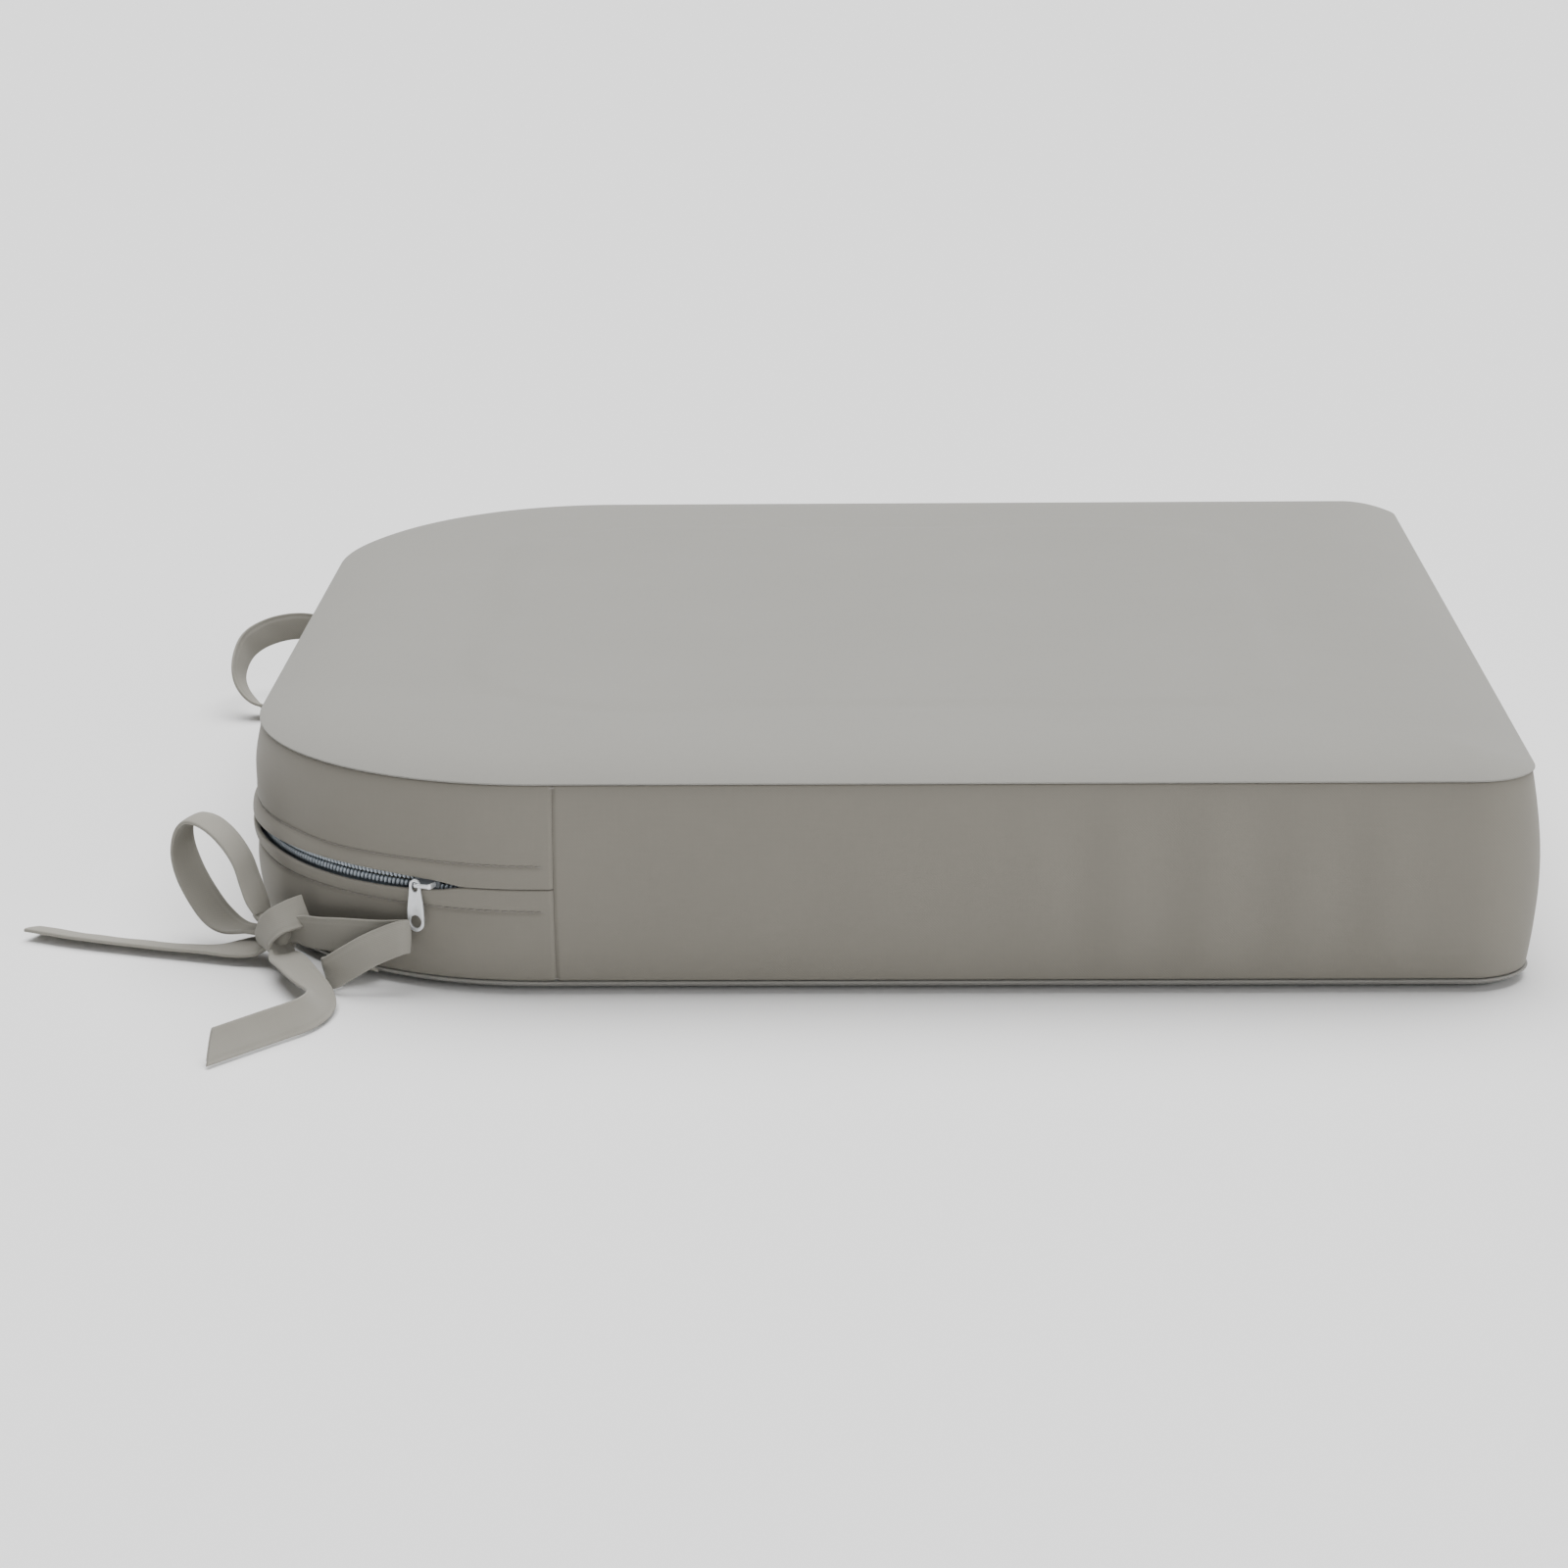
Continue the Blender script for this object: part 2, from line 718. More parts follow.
@dataclass
class CoverCloth:
    """The cover's cloth under the filling's pressure, simulated on a coarse closed cover."""

    shape: PadShape
    rings: int = 34
    wall_rows: int = 15
    start_crown: float = 0.93
    start_swell: float = 0.84
    frames: int = 20
    pressure: float = 4.0
    top_cap: float = 0.0010
    wall_cap: float = 0.0008
    settle: int = 7
    seam_reach: float = 0.025
    lowest_lift: float = -0.0003

    def grid(self) -> PanelGrid:
        """The coarse cover's grid."""
        return PanelGrid(self.shape, self.rings, edge=(0.0, 0.004, 0.0095))

    def settled(self, values: Array) -> Array:
        """Field averaged with its neighbours by a bell-shaped kernel, first down, then across."""
        kernel = np.hanning(self.settle + 2)[1:-1]
        kernel = kernel / kernel.sum()
        half = self.settle // 2
        for axis in (0, 1):
            ends = ((half, half), (0, 0)) if axis == 0 else ((0, 0), (half, half))
            mode = "edge" if axis == 0 or values.shape[0] == values.shape[1] else "wrap"
            wide = np.pad(values, ends, mode=mode)
            windows = np.lib.stride_tricks.sliding_window_view(wide, self.settle, axis=axis)
            values = (windows * kernel).sum(-1)
        return values

    def inner_share(self) -> Array:
        """Share of the lift that is kept: nil at the seam, whole at the seam's reach inside it."""
        xy, _ = self.grid().lay()
        return smooth_step(0.0, self.seam_reach, self.shape.depth(xy))

    def start_mesh(self) -> tuple[bpy.types.Object, Array]:
        """Coarse closed cover, a little flatter than the finished one.

        Returns:
            The object, and the indices of its points on the two seams.
        """
        shape = self.shape
        grid = self.grid()
        xy, s = grid.lay()
        depth = shape.depth(xy)
        top = shape.seam_high + self.start_crown * shape.crown * shape.margin(depth, shape.top_roll)
        low = shape.seam_low * (1 - shape.margin(depth, shape.bottom_roll))
        rows, cols = grid.border()
        ring_s = s[rows, cols]
        z = np.linspace(shape.seam_low, shape.seam_high, self.wall_rows)[:, None]
        spread = np.broadcast_to(ring_s, (self.wall_rows, len(ring_s)))
        wall = shape.wall(spread, self.start_swell * shape.bulge(z) + 0 * spread, z)
        patches = [Patch(np.concatenate([xy, top[..., None]], -1)),
                   Patch(np.concatenate([xy, low[..., None]], -1)[::-1]),
                   Patch(wall, cols_closed=True)]
        cover = make_piece("cover_start", patches)
        size = len(top) ** 2
        first, last = 2 * size, 2 * size + (self.wall_rows - 1) * len(ring_s)
        seams = np.concatenate([first + np.arange(len(ring_s)), last + np.arange(len(ring_s))])
        return cover, seams

    def simulate(self) -> tuple[Array, Array]:
        """Run the cloth.

        Returns:
            How far each point of the top grid rises, and how far each point of the wall is pushed
            out, both softly capped: cap times the hyperbolic tangent of the move over the cap.
        """
        cover, seams = self.start_mesh()
        size = (2 * self.rings + 1) ** 2
        cols = 8 * self.rings
        count = len(cover.data.vertices)
        before = np.empty(count * 3)
        cover.data.vertices.foreach_get("co", before)
        before = before.reshape(-1, 3)
        # Points that two patches share are welded, so each keeps the index of its welded twin.
        key = np.round(before * 1e6).astype(np.int64)
        _, first, back = np.unique(key, axis=0, return_index=True, return_inverse=True)
        back = back.ravel()
        faces = np.empty(len(cover.data.loops), dtype=np.int64)
        cover.data.loops.foreach_get("vertex_index", faces)
        welded = bpy.data.meshes.new("cover_cloth_mesh")
        welded.from_pydata(before[first], [], back[faces].reshape(-1, 4).tolist())
        cloth = bpy.data.objects.new("cover_cloth_run", welded)
        bpy.context.scene.collection.objects.link(cloth)
        pins = cloth.vertex_groups.new(name="seams")
        pins.add([int(k) for k in np.unique(back[seams])], 1.0, "REPLACE")
        run = cloth.modifiers.new("cloth", "CLOTH")
        settings = run.settings
        settings.quality = 6
        settings.mass = 0.25
        settings.tension_stiffness = 12.0
        settings.compression_stiffness = 12.0
        settings.shear_stiffness = 5.0
        settings.bending_stiffness = 0.4
        settings.use_pressure = True
        settings.uniform_pressure_force = self.pressure
        settings.shrink_min = -0.012
        settings.vertex_group_mass = "seams"
        settings.effector_weights.gravity = 0.0
        run.point_cache.frame_start = 1
        run.point_cache.frame_end = self.frames
        scene = bpy.context.scene
        for number in range(1, self.frames + 1):
            scene.frame_set(number)
        shown = cloth.evaluated_get(bpy.context.evaluated_depsgraph_get())
        after = np.empty(len(welded.vertices) * 3)
        shown.data.vertices.foreach_get("co", after)
        move = after.reshape(-1, 3)[back] - before
        scene.frame_set(1)
        bpy.data.objects.remove(cloth)
        bpy.data.objects.remove(cover)
        lift = move[:size, 2].reshape(2 * self.rings + 1, -1)
        grid = self.grid()
        _, s = grid.lay()
        rows, border = grid.border()
        _, normal = self.shape.outline(s[rows, border])
        wall = move[2 * size:, :2].reshape(self.wall_rows, cols, 2)
        push = (wall * normal[None]).sum(-1)
        LOG.info("cloth: top rises %.1f mm at most, boxing moves %.1f mm at most",
                 lift.max() * 1000, np.abs(push).max() * 1000)
        lift = self.top_cap * np.tanh(self.settled(lift - 0.5 * lift.max()) / self.top_cap)
        push = self.wall_cap * np.tanh(self.settled(push - push.mean()) / self.wall_cap)
        return np.maximum(lift, self.lowest_lift) * self.inner_share(), push

    def fields(self) -> tuple[Array, Array]:
        """The two fields, simulated unless a quick try is asked for."""
        return self.simulate()


@dataclass
class Reliefs:
    """Soft unevenness of the cover: what the cloth run gave, and the creases that sewing leaves."""

    shape: PadShape
    lift: Array
    push: Array
    coarse: PanelGrid

    def top(self, grid: PanelGrid) -> Array:
        """Rise of the top panel on a finer grid.

        Args:
            grid: the finer grid.

        Returns:
            The rise at its points: each ring is found among the coarse rings by its scale, and the
            interpolated table of rises is read there.
        """
        fine = 4
        size = 2 * self.coarse.rings * fine + 1
        table = cubic_rows(cubic_rows(self.lift, size).T, size).T
        line = np.arange(-grid.rings, grid.rings + 1)
        i, j = np.meshgrid(line, line, indexing="ij")
        ring = np.maximum(np.abs(i), np.abs(j))
        place = np.interp(grid.reach(), self.coarse.reach(), np.arange(self.coarse.rings + 1))[ring]
        share = place / np.maximum(ring, 1) * fine
        middle = self.coarse.rings * fine
        return read_table(table, i * share + middle, j * share + middle)

    def boxing(self, s: Array, z: Array) -> Array:
        """Outward push of the boxing.

        Args:
            s: distances along the outline.
            z: heights.

        Returns:
            The push there, read from a finely interpolated table.
        """
        rows, cols = 120, 1600
        table = cubic_rows(cubic_rows(self.push, rows).T, cols, closed=True).T
        table = np.concatenate([table, table[:, :1]], axis=1)
        corners = self.coarse.corners()
        place = np.mod(s - corners[0], self.shape.around) + corners[0]
        across = np.interp(place, corners, np.arange(5)) / 4 * cols
        up = (z - self.shape.seam_low) / (self.shape.seam_high - self.shape.seam_low) * (rows - 1)
        return read_table(table, up, across)

    def side_waves(self, s: Array, z: Array) -> Array:
        """Slow upright waves of the near side boxing: cosines under a window in x and in z."""
        x = -(self.shape.half - self.shape.back_radius) + self.shape.around - np.mod(s, self.shape.around)
        middle = np.clip((z - self.shape.seam_low) / (self.shape.seam_high - self.shape.seam_low), 0, 1)
        window = smooth_step(0.03, 0.09, x) * (1 - smooth_step(0.18, 0.22, x))
        window = window * np.sin(math.pi * middle) ** 0.7
        return 0.00080 * np.cos(2 * math.pi * (x - 0.092) / 0.034) * window

    def valley(self, s: Array, z: Array) -> Array:
        """Draw-in along both rows of topstitching: a bell, steeper on the zip's side of it.

        Args:
            s: distances along the outline.
            z: heights.

        Returns:
            A push that is never outwards, and nil near the side seams.
        """
        offset = np.abs(z - self.shape.zip_z) - 0.0095
        wide = np.where(offset < 0, 0.0034, 0.0085)
        around = np.mod(s + 0.02, self.shape.around) - 0.02
        ends = smooth_step(0.0, 0.035, around) * smooth_step(0.0, 0.035, self.shape.back_length - around)
        return -(0.0003 + 0.0010 * ends) * hump(offset, 0.0, wide) * (ends > 0)

    def corner_dents(self, s: Array, z: Array) -> Array:
        """Shallow dents of the zipped boxing, where the folds pull at the seams: a sum of bells."""
        angle = self.shape.corner_angle(s)
        dents = [(24.0, 9.0, 0.064, 0.010, -0.0006), (40.0, 7.0, 0.066, 0.012, 0.0005),
                 (55.0, 8.0, 0.061, 0.009, -0.0007), (72.0, 9.0, 0.067, 0.012, 0.0004),
                 (87.0, 9.0, 0.061, 0.006, -0.0013), (14.0, 8.0, 0.020, 0.010, 0.0005),
                 (34.0, 9.0, 0.022, 0.009, -0.0006), (60.0, 10.0, 0.024, 0.010, 0.0006),
                 (110.0, 12.0, 0.063, 0.010, -0.0005), (140.0, 14.0, 0.022, 0.010, -0.0006),
                 (175.0, 14.0, 0.064, 0.010, 0.0005), (220.0, 14.0, 0.024, 0.010, 0.0005),
                 (258.0, 12.0, 0.062, 0.010, -0.0006)]
        total = np.zeros(np.broadcast(s, z).shape)
        for place, width, height, tall, size in dents:
            total = total + 1.7 * size * hump(angle, place, width) * hump(z, height, tall)
        return total


# ---------------------------------------------------------------- cover


def curl(edge: float, away: float, tuck: float) -> tuple[Array, Array]:
    """Heights and depths where cloth turns in at a seam, from inside the seam to the flat face.

    Args:
        edge: height of the strip's edge.
        away: 1 if the strip lies above that edge, -1 if below.
        tuck: how deep the cloth is turned in.

    Returns:
        Heights, and depths behind the strip's face.
    """
    rise = np.array([0.0, 0.0, 0.00006, 0.00022, 0.0005, 0.0009, 0.0014])
    depth = np.array([tuck, 0.0010, 0.0006, 0.00032, 0.00013, 0.00003, 0.0])
    return edge + away * rise, depth


@dataclass
class Cover:
    """Top and bottom panels, and the boxing between them."""

    shape: PadShape
    reliefs: Reliefs
    cloth: CoverCloth
    wardrobe: Wardrobe
    rings: int = 92
    gap: float = 0.00012
    tuck: float = 0.0017
    side_gap: float = 0.00005
    side_tuck: float = 0.0008
    side_reach: float = 0.0009
    side_shift: float = 0.0062
    under_roll: float = 0.015
    top_power: float = 3.4
    column_step: float = 0.0021

    def face(self, s: Array, z: Array) -> Array:
        """How far the boxing's outer face stands outside the outline."""
        swell = self.cloth.start_swell * self.shape.bulge(z)
        waves = self.reliefs.side_waves(s, z) + self.reliefs.corner_dents(s, z) + self.reliefs.valley(s, z)
        fade = smooth_step(self.shape.seam_low, self.shape.seam_low + 0.006, z)
        fade = fade * (1 - smooth_step(self.shape.seam_high - 0.006, self.shape.seam_high, z))
        return swell + self.reliefs.boxing(s, z) + waves * fade

    def panel(self, name: str, skin: Array, xy: Array, s: Array, grid: PanelGrid,
              up: float) -> bpy.types.Object:
        """A panel from its skin, with an edge that rolls over and tucks into the seam.

        Args:
            name: the piece's name.
            skin: height of each grid point.
            xy: the grid's points.
            s: the grid's distances along the outline.
            grid: the grid.
            up: 1 for the top panel and -1 for the bottom panel.

        Returns:
            The piece, with the thickness of its cloth.
        """
        rows, cols = grid.border()
        ring_s, ring_z = s[rows, cols], skin[rows, cols]
        out = np.array([0.00022, 0.00034, 0.00030, 0.0, -0.0006, -self.tuck])[:, None]
        drop = np.array([0.00010, 0.00034, 0.00056, 0.00074, 0.0008, 0.00083])[:, None] * up
        spread = np.broadcast_to(ring_s, (len(out), len(ring_s)))
        skirt = self.shape.wall(spread, out + 0 * spread, ring_z - drop)
        size = len(skin)
        number = np.arange(size * size).reshape(size, size)
        border = number[rows, cols]
        i = np.arange(size - 1)[:, None] * size + np.arange(size - 1)[None, :]
        flat = np.stack([i, i + size, i + size + 1, i + 1], -1).reshape(-1, 4)
        added = size * size + np.arange(skirt.shape[0] * len(border)).reshape(skirt.shape[:2])
        rings = np.vstack([border[None], added])
        follow = np.roll(rings, -1, axis=1)
        edge = np.stack([rings[:-1], rings[1:], follow[1:], follow[:-1]], -1).reshape(-1, 4)
        sheet = np.concatenate([xy, skin[..., None]], -1)
        points = np.concatenate([sheet.reshape(-1, 3), skirt.reshape(-1, 3)])
        faces = np.concatenate([flat, edge])
        a, b, c, d = (points[flat[:, k]] for k in range(4))
        turned = np.cross(c - a, d - b)[:, 2].sum()
        if turned * up < 0:
            faces[:len(flat)] = faces[:len(flat), ::-1]
        a, b, c, d = (points[edge[:, k]] for k in range(4))
        normal = np.cross(c - a, d - b)
        outward = np.concatenate([a[:, :2], np.zeros((len(a), 1))], -1)
        half = len(edge) // 3
        if (normal[:half] * outward[:half]).sum() < 0:
            faces[len(flat):] = faces[len(flat):, ::-1]
        mesh = bpy.data.meshes.new(name)
        mesh.from_pydata(points, [], faces.tolist())
        mesh.shade_smooth()
        piece = bpy.data.objects.new(name, mesh)
        bpy.context.scene.collection.objects.link(piece)
        wall = piece.modifiers.new("cloth", "SOLIDIFY")
        wall.thickness = self.shape.cloth * 0.8
        wall.offset = -1.0
        apply_modifiers(piece)
        return piece

    def build_panels(self) -> None:
        """Top and bottom panels from the seam rise, the cloth run's lift and the margins."""
        shape = self.shape
        grid = PanelGrid(shape, self.rings)
        xy, s = grid.lay()
        depth = shape.depth(xy)
        rise = shape.margin(depth, shape.top_roll, self.top_power)
        top = shape.seam_high + shape.cloth + self.cloth.start_crown * shape.crown * rise
        top = top + self.reliefs.top(grid)
        upper = self.panel("top_cover", top, xy, s, grid, 1.0)
        self.wardrobe.dress(upper, Finish.COVER, "pad", ["top_panel"])
        low = shape.seam_low * (1 - shape.margin(depth, self.under_roll))
        lower = self.panel("bottom_cover", low, xy, s, grid, -1.0)
        self.wardrobe.dress(lower, Finish.COVER, "pad", ["bottom_panel"])

    def columns(self, start: float, end: float, step: float) -> Array:
        """Distances of a strip's columns: close together at both side seams, then even."""
        close = np.array([0.0, 0.0003, 0.0006, 0.0010, 0.0014, 0.0020, 0.0028, 0.0040])
        low, high = start + self.side_gap, end - self.side_gap
        count = int((high - low - 0.012) / step)
        even = np.linspace(low + 0.006, high - 0.006, count)
        return np.concatenate([low + close, even, (high - close)[::-1]])

    def sewn_in(self, s: Array, start: float, end: float) -> Array:
        """Depth to which a strip's ends are drawn in at the side seams: a bell at each end."""
        return self.side_tuck * (hump(s, start, self.side_reach) + hump(s, end, self.side_reach))

    def strip(self, s: Array, z: Array, depth: Array) -> Patch:
        """Closed strip of boxing from columns s and an (n, m) profile of heights and depths."""
        spread = np.broadcast_to(s[:, None], z.shape)
        points = self.shape.wall(spread, self.face(spread, z) - depth, z)
        u = np.concatenate([z, z[:, :1]], axis=1)
        uv = np.stack([np.broadcast_to(s[:, None], u.shape), u], -1)
        return Patch(points, uv=uv, cols_closed=True, capped=True)

    def build_front(self) -> None:
        """Plain boxing round the front and both sides, in one strip."""
        shape = self.shape
        low, high = shape.seam_low + shape.cloth + self.gap, shape.seam_high - self.gap
        start, end = shape.back_length + self.side_shift, shape.around - self.side_shift
        s = self.columns(start, end, self.column_step)
        low_z, low_depth = curl(low, 1.0, self.tuck)
        high_z, high_depth = curl(high, -1.0, self.tuck)
        face_z = np.linspace(low + 0.003, high - 0.003, 34)
        inner_z = np.array([high - 0.0007, high - 0.0022, *np.linspace(high - 0.01, low + 0.01, 5),
                            low + 0.0022, low + 0.0007])
        inner_depth = np.array([self.tuck, *[shape.cloth] * 7, self.tuck])
        z = np.concatenate([low_z, face_z, high_z[::-1], inner_z])
        depth = np.concatenate([low_depth, 0 * face_z, high_depth[::-1], inner_depth])
        z = np.broadcast_to(z, (len(s), len(z)))
        depth = depth + self.sewn_in(s, start, end)[:, None]
        strip = make_piece("front_boxing_strip", [self.strip(s, z, depth)], 60.0)
        self.wardrobe.dress(strip, Finish.BOXING, "pad", ["front_boxing"])

    def build(self) -> None:
        """Every piece of the cover but the zipped strips."""
        self.build_panels()
        self.build_front()


# ---------------------------------------------------------------- zip


@dataclass
class ZipBoxing:
    """The two folded strips beside the zip: upper and lower, with their topstitching."""

    cover: Cover
    wardrobe: Wardrobe
    stitch: float = 0.0090
    fold: float = 0.0120
    fold_thick: float = 0.0018
    lip_round: float = 0.0009
    welt: float = 0.00022
    crease: float = 0.00060
    crease_width: float = 0.0010
    stitch_pitch: float = 0.0032
    thread: float = 0.00022
    end_margin: float = 0.0040
    column_step: float = 0.00145
    puff: float = 0.00022

    def opening(self, s: Array) -> Array:
        """Half the gap between the folds: nil by the side seams, widest on the near corner.

        Args:
            s: distances along the outline.

        Returns:
            The smaller of two straight-line curves, in degrees from either side seam and
            millimetres, softened by a bell-shaped kernel.
        """
        shape = self.cover.shape
        knots = [0.0, 13.6, 15.2, 18.0, 22.0, 28.0, 38.0, 48.0, 60.0, 74.0, 90.0]
        half = [0.06, 0.06, 0.60, 1.70, 2.20, 2.80, 3.10, 2.85, 2.25, 1.70, 1.40]
        far_knots = [0.0, 13.6, 15.2, 18.0, 22.0, 28.0, 40.0]
        far_half = [0.06, 0.06, 0.45, 1.00, 1.30, 1.40, 9.00]
        even = np.linspace(0, shape.back_length, 900)
        angle = shape.corner_angle(even)
        wide = np.minimum(np.interp(angle, knots, half), np.interp(angle[::-1], far_knots, far_half))
        kernel = np.hanning(9) / np.hanning(9).sum()
        soft = np.convolve(np.pad(wide, 4, mode="edge"), kernel, mode="valid")
        return np.interp(s, even, soft) / 1000

    def profile(self, s: Array, side: float) -> tuple[Array, Array]:
        """Heights and depths of one folded strip.

        Args:
            s: the columns' distances.
            side: 1 above the zip, -1 below it.

        Returns:
            Two (n, m) arrays: from the seam down the face to the lip, round it and back inside.
        """
        shape, cover = self.cover.shape, self.cover
        low, high = shape.seam_low + shape.cloth + cover.gap, shape.seam_high - cover.gap
        seam = high if side > 0 else low
        seam_z, seam_depth = curl(seam, -side, cover.tuck)
        tall = abs(seam - shape.zip_z)
        lip = self.opening(s)[:, None]
        near_stitch = np.array([2.6, 1.9, 1.3, 0.8, 0.4, 0.0, -0.4, -0.8, -1.3, -1.9, -2.6]) / 1000
        face = np.linspace(tall - 0.003, self.stitch + 0.0036, 18)
        groove = self.stitch + near_stitch
        brink = lip + self.lip_round
        band = np.linspace(0.92, 0.12, 7)[None, :] * (self.stitch - 0.0028 - brink) + brink
        turn = np.radians(np.linspace(90, -90, 9))[None, :]
        edge = lip + self.lip_round * (1 - np.cos(turn))
        edge_depth = self.lip_round * (1 - np.sin(turn)) + 0 * lip
        back = np.array([0.0046, 0.0078, 0.0110, self.fold, self.fold + 0.0004, 0.020, 0.030,
                         tall - 0.0022, tall - 0.0007])
        back_depth = np.array([*[self.fold_thick] * 4, *[shape.cloth] * 4, cover.tuck])
        wide = np.ones((len(s), 1))
        offset = np.concatenate([wide * (seam_z - shape.zip_z) * side, wide * face, wide * groove,
                                 band, edge, wide * back], axis=1)
        depth = np.concatenate([wide * seam_depth, wide * 0 * face, wide * 0 * groove,
                                0 * band, edge_depth, wide * back_depth], axis=1)
        on_face = np.zeros(offset.shape[1])
        on_face[:len(seam_z) + len(face) + len(groove) + band.shape[1] + 5] = 1.0
        reach = self.end_margin - cover.side_shift
        ends = smooth_step(reach - 0.001, reach + 0.002, s)
        ends = ends * smooth_step(reach - 0.001, reach + 0.002, shape.back_length - s)
        sewn = self.crease * hump(offset, self.stitch, self.crease_width) * on_face * ends[:, None]
        raised = self.welt * smooth_step(self.stitch, self.stitch - 0.003, offset) * on_face
        puff = self.puff * hump(offset, self.stitch + 0.006, 0.004) * on_face
        depth = depth + sewn - raised - puff
        return shape.zip_z + side * offset, depth

    def build_strips(self) -> None:
        """Both folded strips."""
        shape = self.cover.shape
        shift = self.cover.side_shift
        s = self.cover.columns(-shift, shape.back_length + shift, self.column_step)
        for word, side in (("upper", 1.0), ("lower", -1.0)):
            z, depth = self.profile(s, side)
            depth = depth + self.cover.sewn_in(s, -shift, shape.back_length + shift)[:, None]
            strip = make_piece("zip_boxing_strip_" + word, [self.cover.strip(s, z, depth)], 60.0)
            self.wardrobe.dress(strip, Finish.BOXING, "pad", ["zip_boxing_" + word])

    def build_stitches(self) -> None:
        """Topstitching: short raised stitches that lie in each strip's crease."""
        shape = self.cover.shape
        start = self.end_margin - self.cover.side_shift
        end = shape.back_length - start
        count = int((end - start) / self.stitch_pitch)
        middle = start + (np.arange(count) + 0.5) * (end - start) / count
        along = np.linspace(-1, 1, 7)
        around = np.radians(np.arange(6) * 60.0)
        s = middle[:, None, None] + (along * self.stitch_pitch * 0.44)[None, :, None]
        thick = self.thread * np.sqrt(np.clip(1 - 0.9 * along ** 4, 0, 1))[None, :, None]
        dip = 0.00028 * along[None, :, None] ** 4
        for word, side in (("upper", 1.0), ("lower", -1.0)):
            z = shape.zip_z + side * self.stitch + thick * np.sin(around) + 0 * s
            s_full = s + 0 * z
            face = self.cover.face(s_full, np.full_like(z, shape.zip_z + side * self.stitch))
            out = face - self.crease + 0.00030 - dip + thick * np.cos(around)
            points = shape.wall(s_full, out, z)
            row = Patch(points, cols_closed=True, capped=True)
            stitches = make_piece("topstitching_" + word, [row])
            self.wardrobe.dress(stitches, Finish.THREAD, "pad", ["topstitch_" + word])

    def build(self) -> None:
        """Strips and stitches."""
        self.build_strips()
        self.build_stitches()


@dataclass
class ZipChain:
    """Tapes and teeth of the zip, behind the folds."""

    shape: PadShape
    reliefs: Reliefs
    wardrobe: Wardrobe
    tooth_pitch: float = 0.00190
    tooth_wide: float = 0.00118
    tooth_thick: float = 0.00150
    tooth_start: float = 0.00022
    tooth_end: float = 0.00290
    slant: float = 0.00022
    coil_depth: float = 0.0033
    tape_edge: float = 0.0008
    tape_reach: float = 0.0140
    tape_thick: float = 0.0005
    margin: float = 0.0040

    def build_teeth(self) -> None:
        """Two rows of moulded teeth that alternate at the middle.

        A tooth is a row of ellipses along its length, fuller at its head. The ellipse's width is
        the tooth's width times a head term, and both sizes shrink to the ends as a root of 1 - v^4.
        """
        base = float(self.shape.bulge(np.array(self.shape.zip_z)))
        length = self.shape.back_length - 2 * self.margin
        count = int(length / self.tooth_pitch)
        v = np.linspace(-1, 1, 7)
        around = np.radians(np.arange(10) * 36.0)
        head = 1.0 + 0.14 * hump(v, -0.55, 0.4)
        taper = np.sqrt(np.clip(1 - 0.94 * v ** 4, 0, 1))
        wide = (self.tooth_wide / 2 * head * taper)[None, :, None] * np.cos(around)
        thick = (self.tooth_thick / 2 * taper)[None, :, None] * np.sin(around)
        offset = (self.tooth_start + (self.tooth_end - self.tooth_start) * (v + 1) / 2)[None, :, None]
        for word, side, shift in (("upper", 1.0, 0.0), ("lower", -1.0, 0.5)):
            middle = self.margin + (np.arange(count) + 0.25 + shift) * self.tooth_pitch
            s = middle[:, None, None] + wide + (self.slant * v)[None, :, None]
            out = base - self.coil_depth - self.tooth_thick / 2 + thick + 0 * s
            z = self.shape.zip_z + side * offset + 0 * s
            row = Patch(self.shape.wall(s, out, z), cols_closed=True, capped=True)
            teeth = make_piece("zip_teeth_" + word, [row])
            self.wardrobe.dress(teeth, Finish.COIL, "pad", ["zip_coil_" + word])

    def build_tapes(self) -> None:
        """Two knitted tapes: flat behind the teeth, then stepping out to lie on the folds."""
        s = np.arange(0.0004, self.shape.back_length, 0.0024)
        s = np.append(s, self.shape.back_length - 0.0004)
        offset = np.concatenate([np.linspace(self.tape_edge, 0.0043, 8), np.linspace(0.0049, 0.0072, 6),
                                 np.linspace(0.0080, self.tape_reach, 6)])
        inner, outer = 0.0054, 0.0021
        depth = inner + (outer - inner) * smooth_step(0.0043, 0.0075, offset)
        section_offset = np.concatenate([offset, offset[::-1]])
        section_depth = np.concatenate([depth, (depth + self.tape_thick)[::-1]])
        spread = np.broadcast_to(s[:, None], (len(s), len(section_offset)))
        for word, side in (("upper", 1.0), ("lower", -1.0)):
            z = self.shape.zip_z + side * section_offset
            out = self.shape.bulge(z) + self.reliefs.valley(spread, z + 0 * spread) - section_depth
            points = self.shape.wall(spread, out + 0 * spread, np.broadcast_to(z, spread.shape))
            run = np.concatenate([section_offset, section_offset[:1]])
            uv = np.stack(np.broadcast_arrays(s[:, None], run[None, :]), -1)
            band = Patch(points, uv=uv, cols_closed=True, capped=True)
            tape = make_piece("zip_tape_strip_" + word, [band], 50.0)
            self.wardrobe.dress(tape, Finish.TAPE, "pad", ["zip_tape_" + word])

    def build(self) -> None:
        """Teeth and tapes."""
        self.build_teeth()
        self.build_tapes()


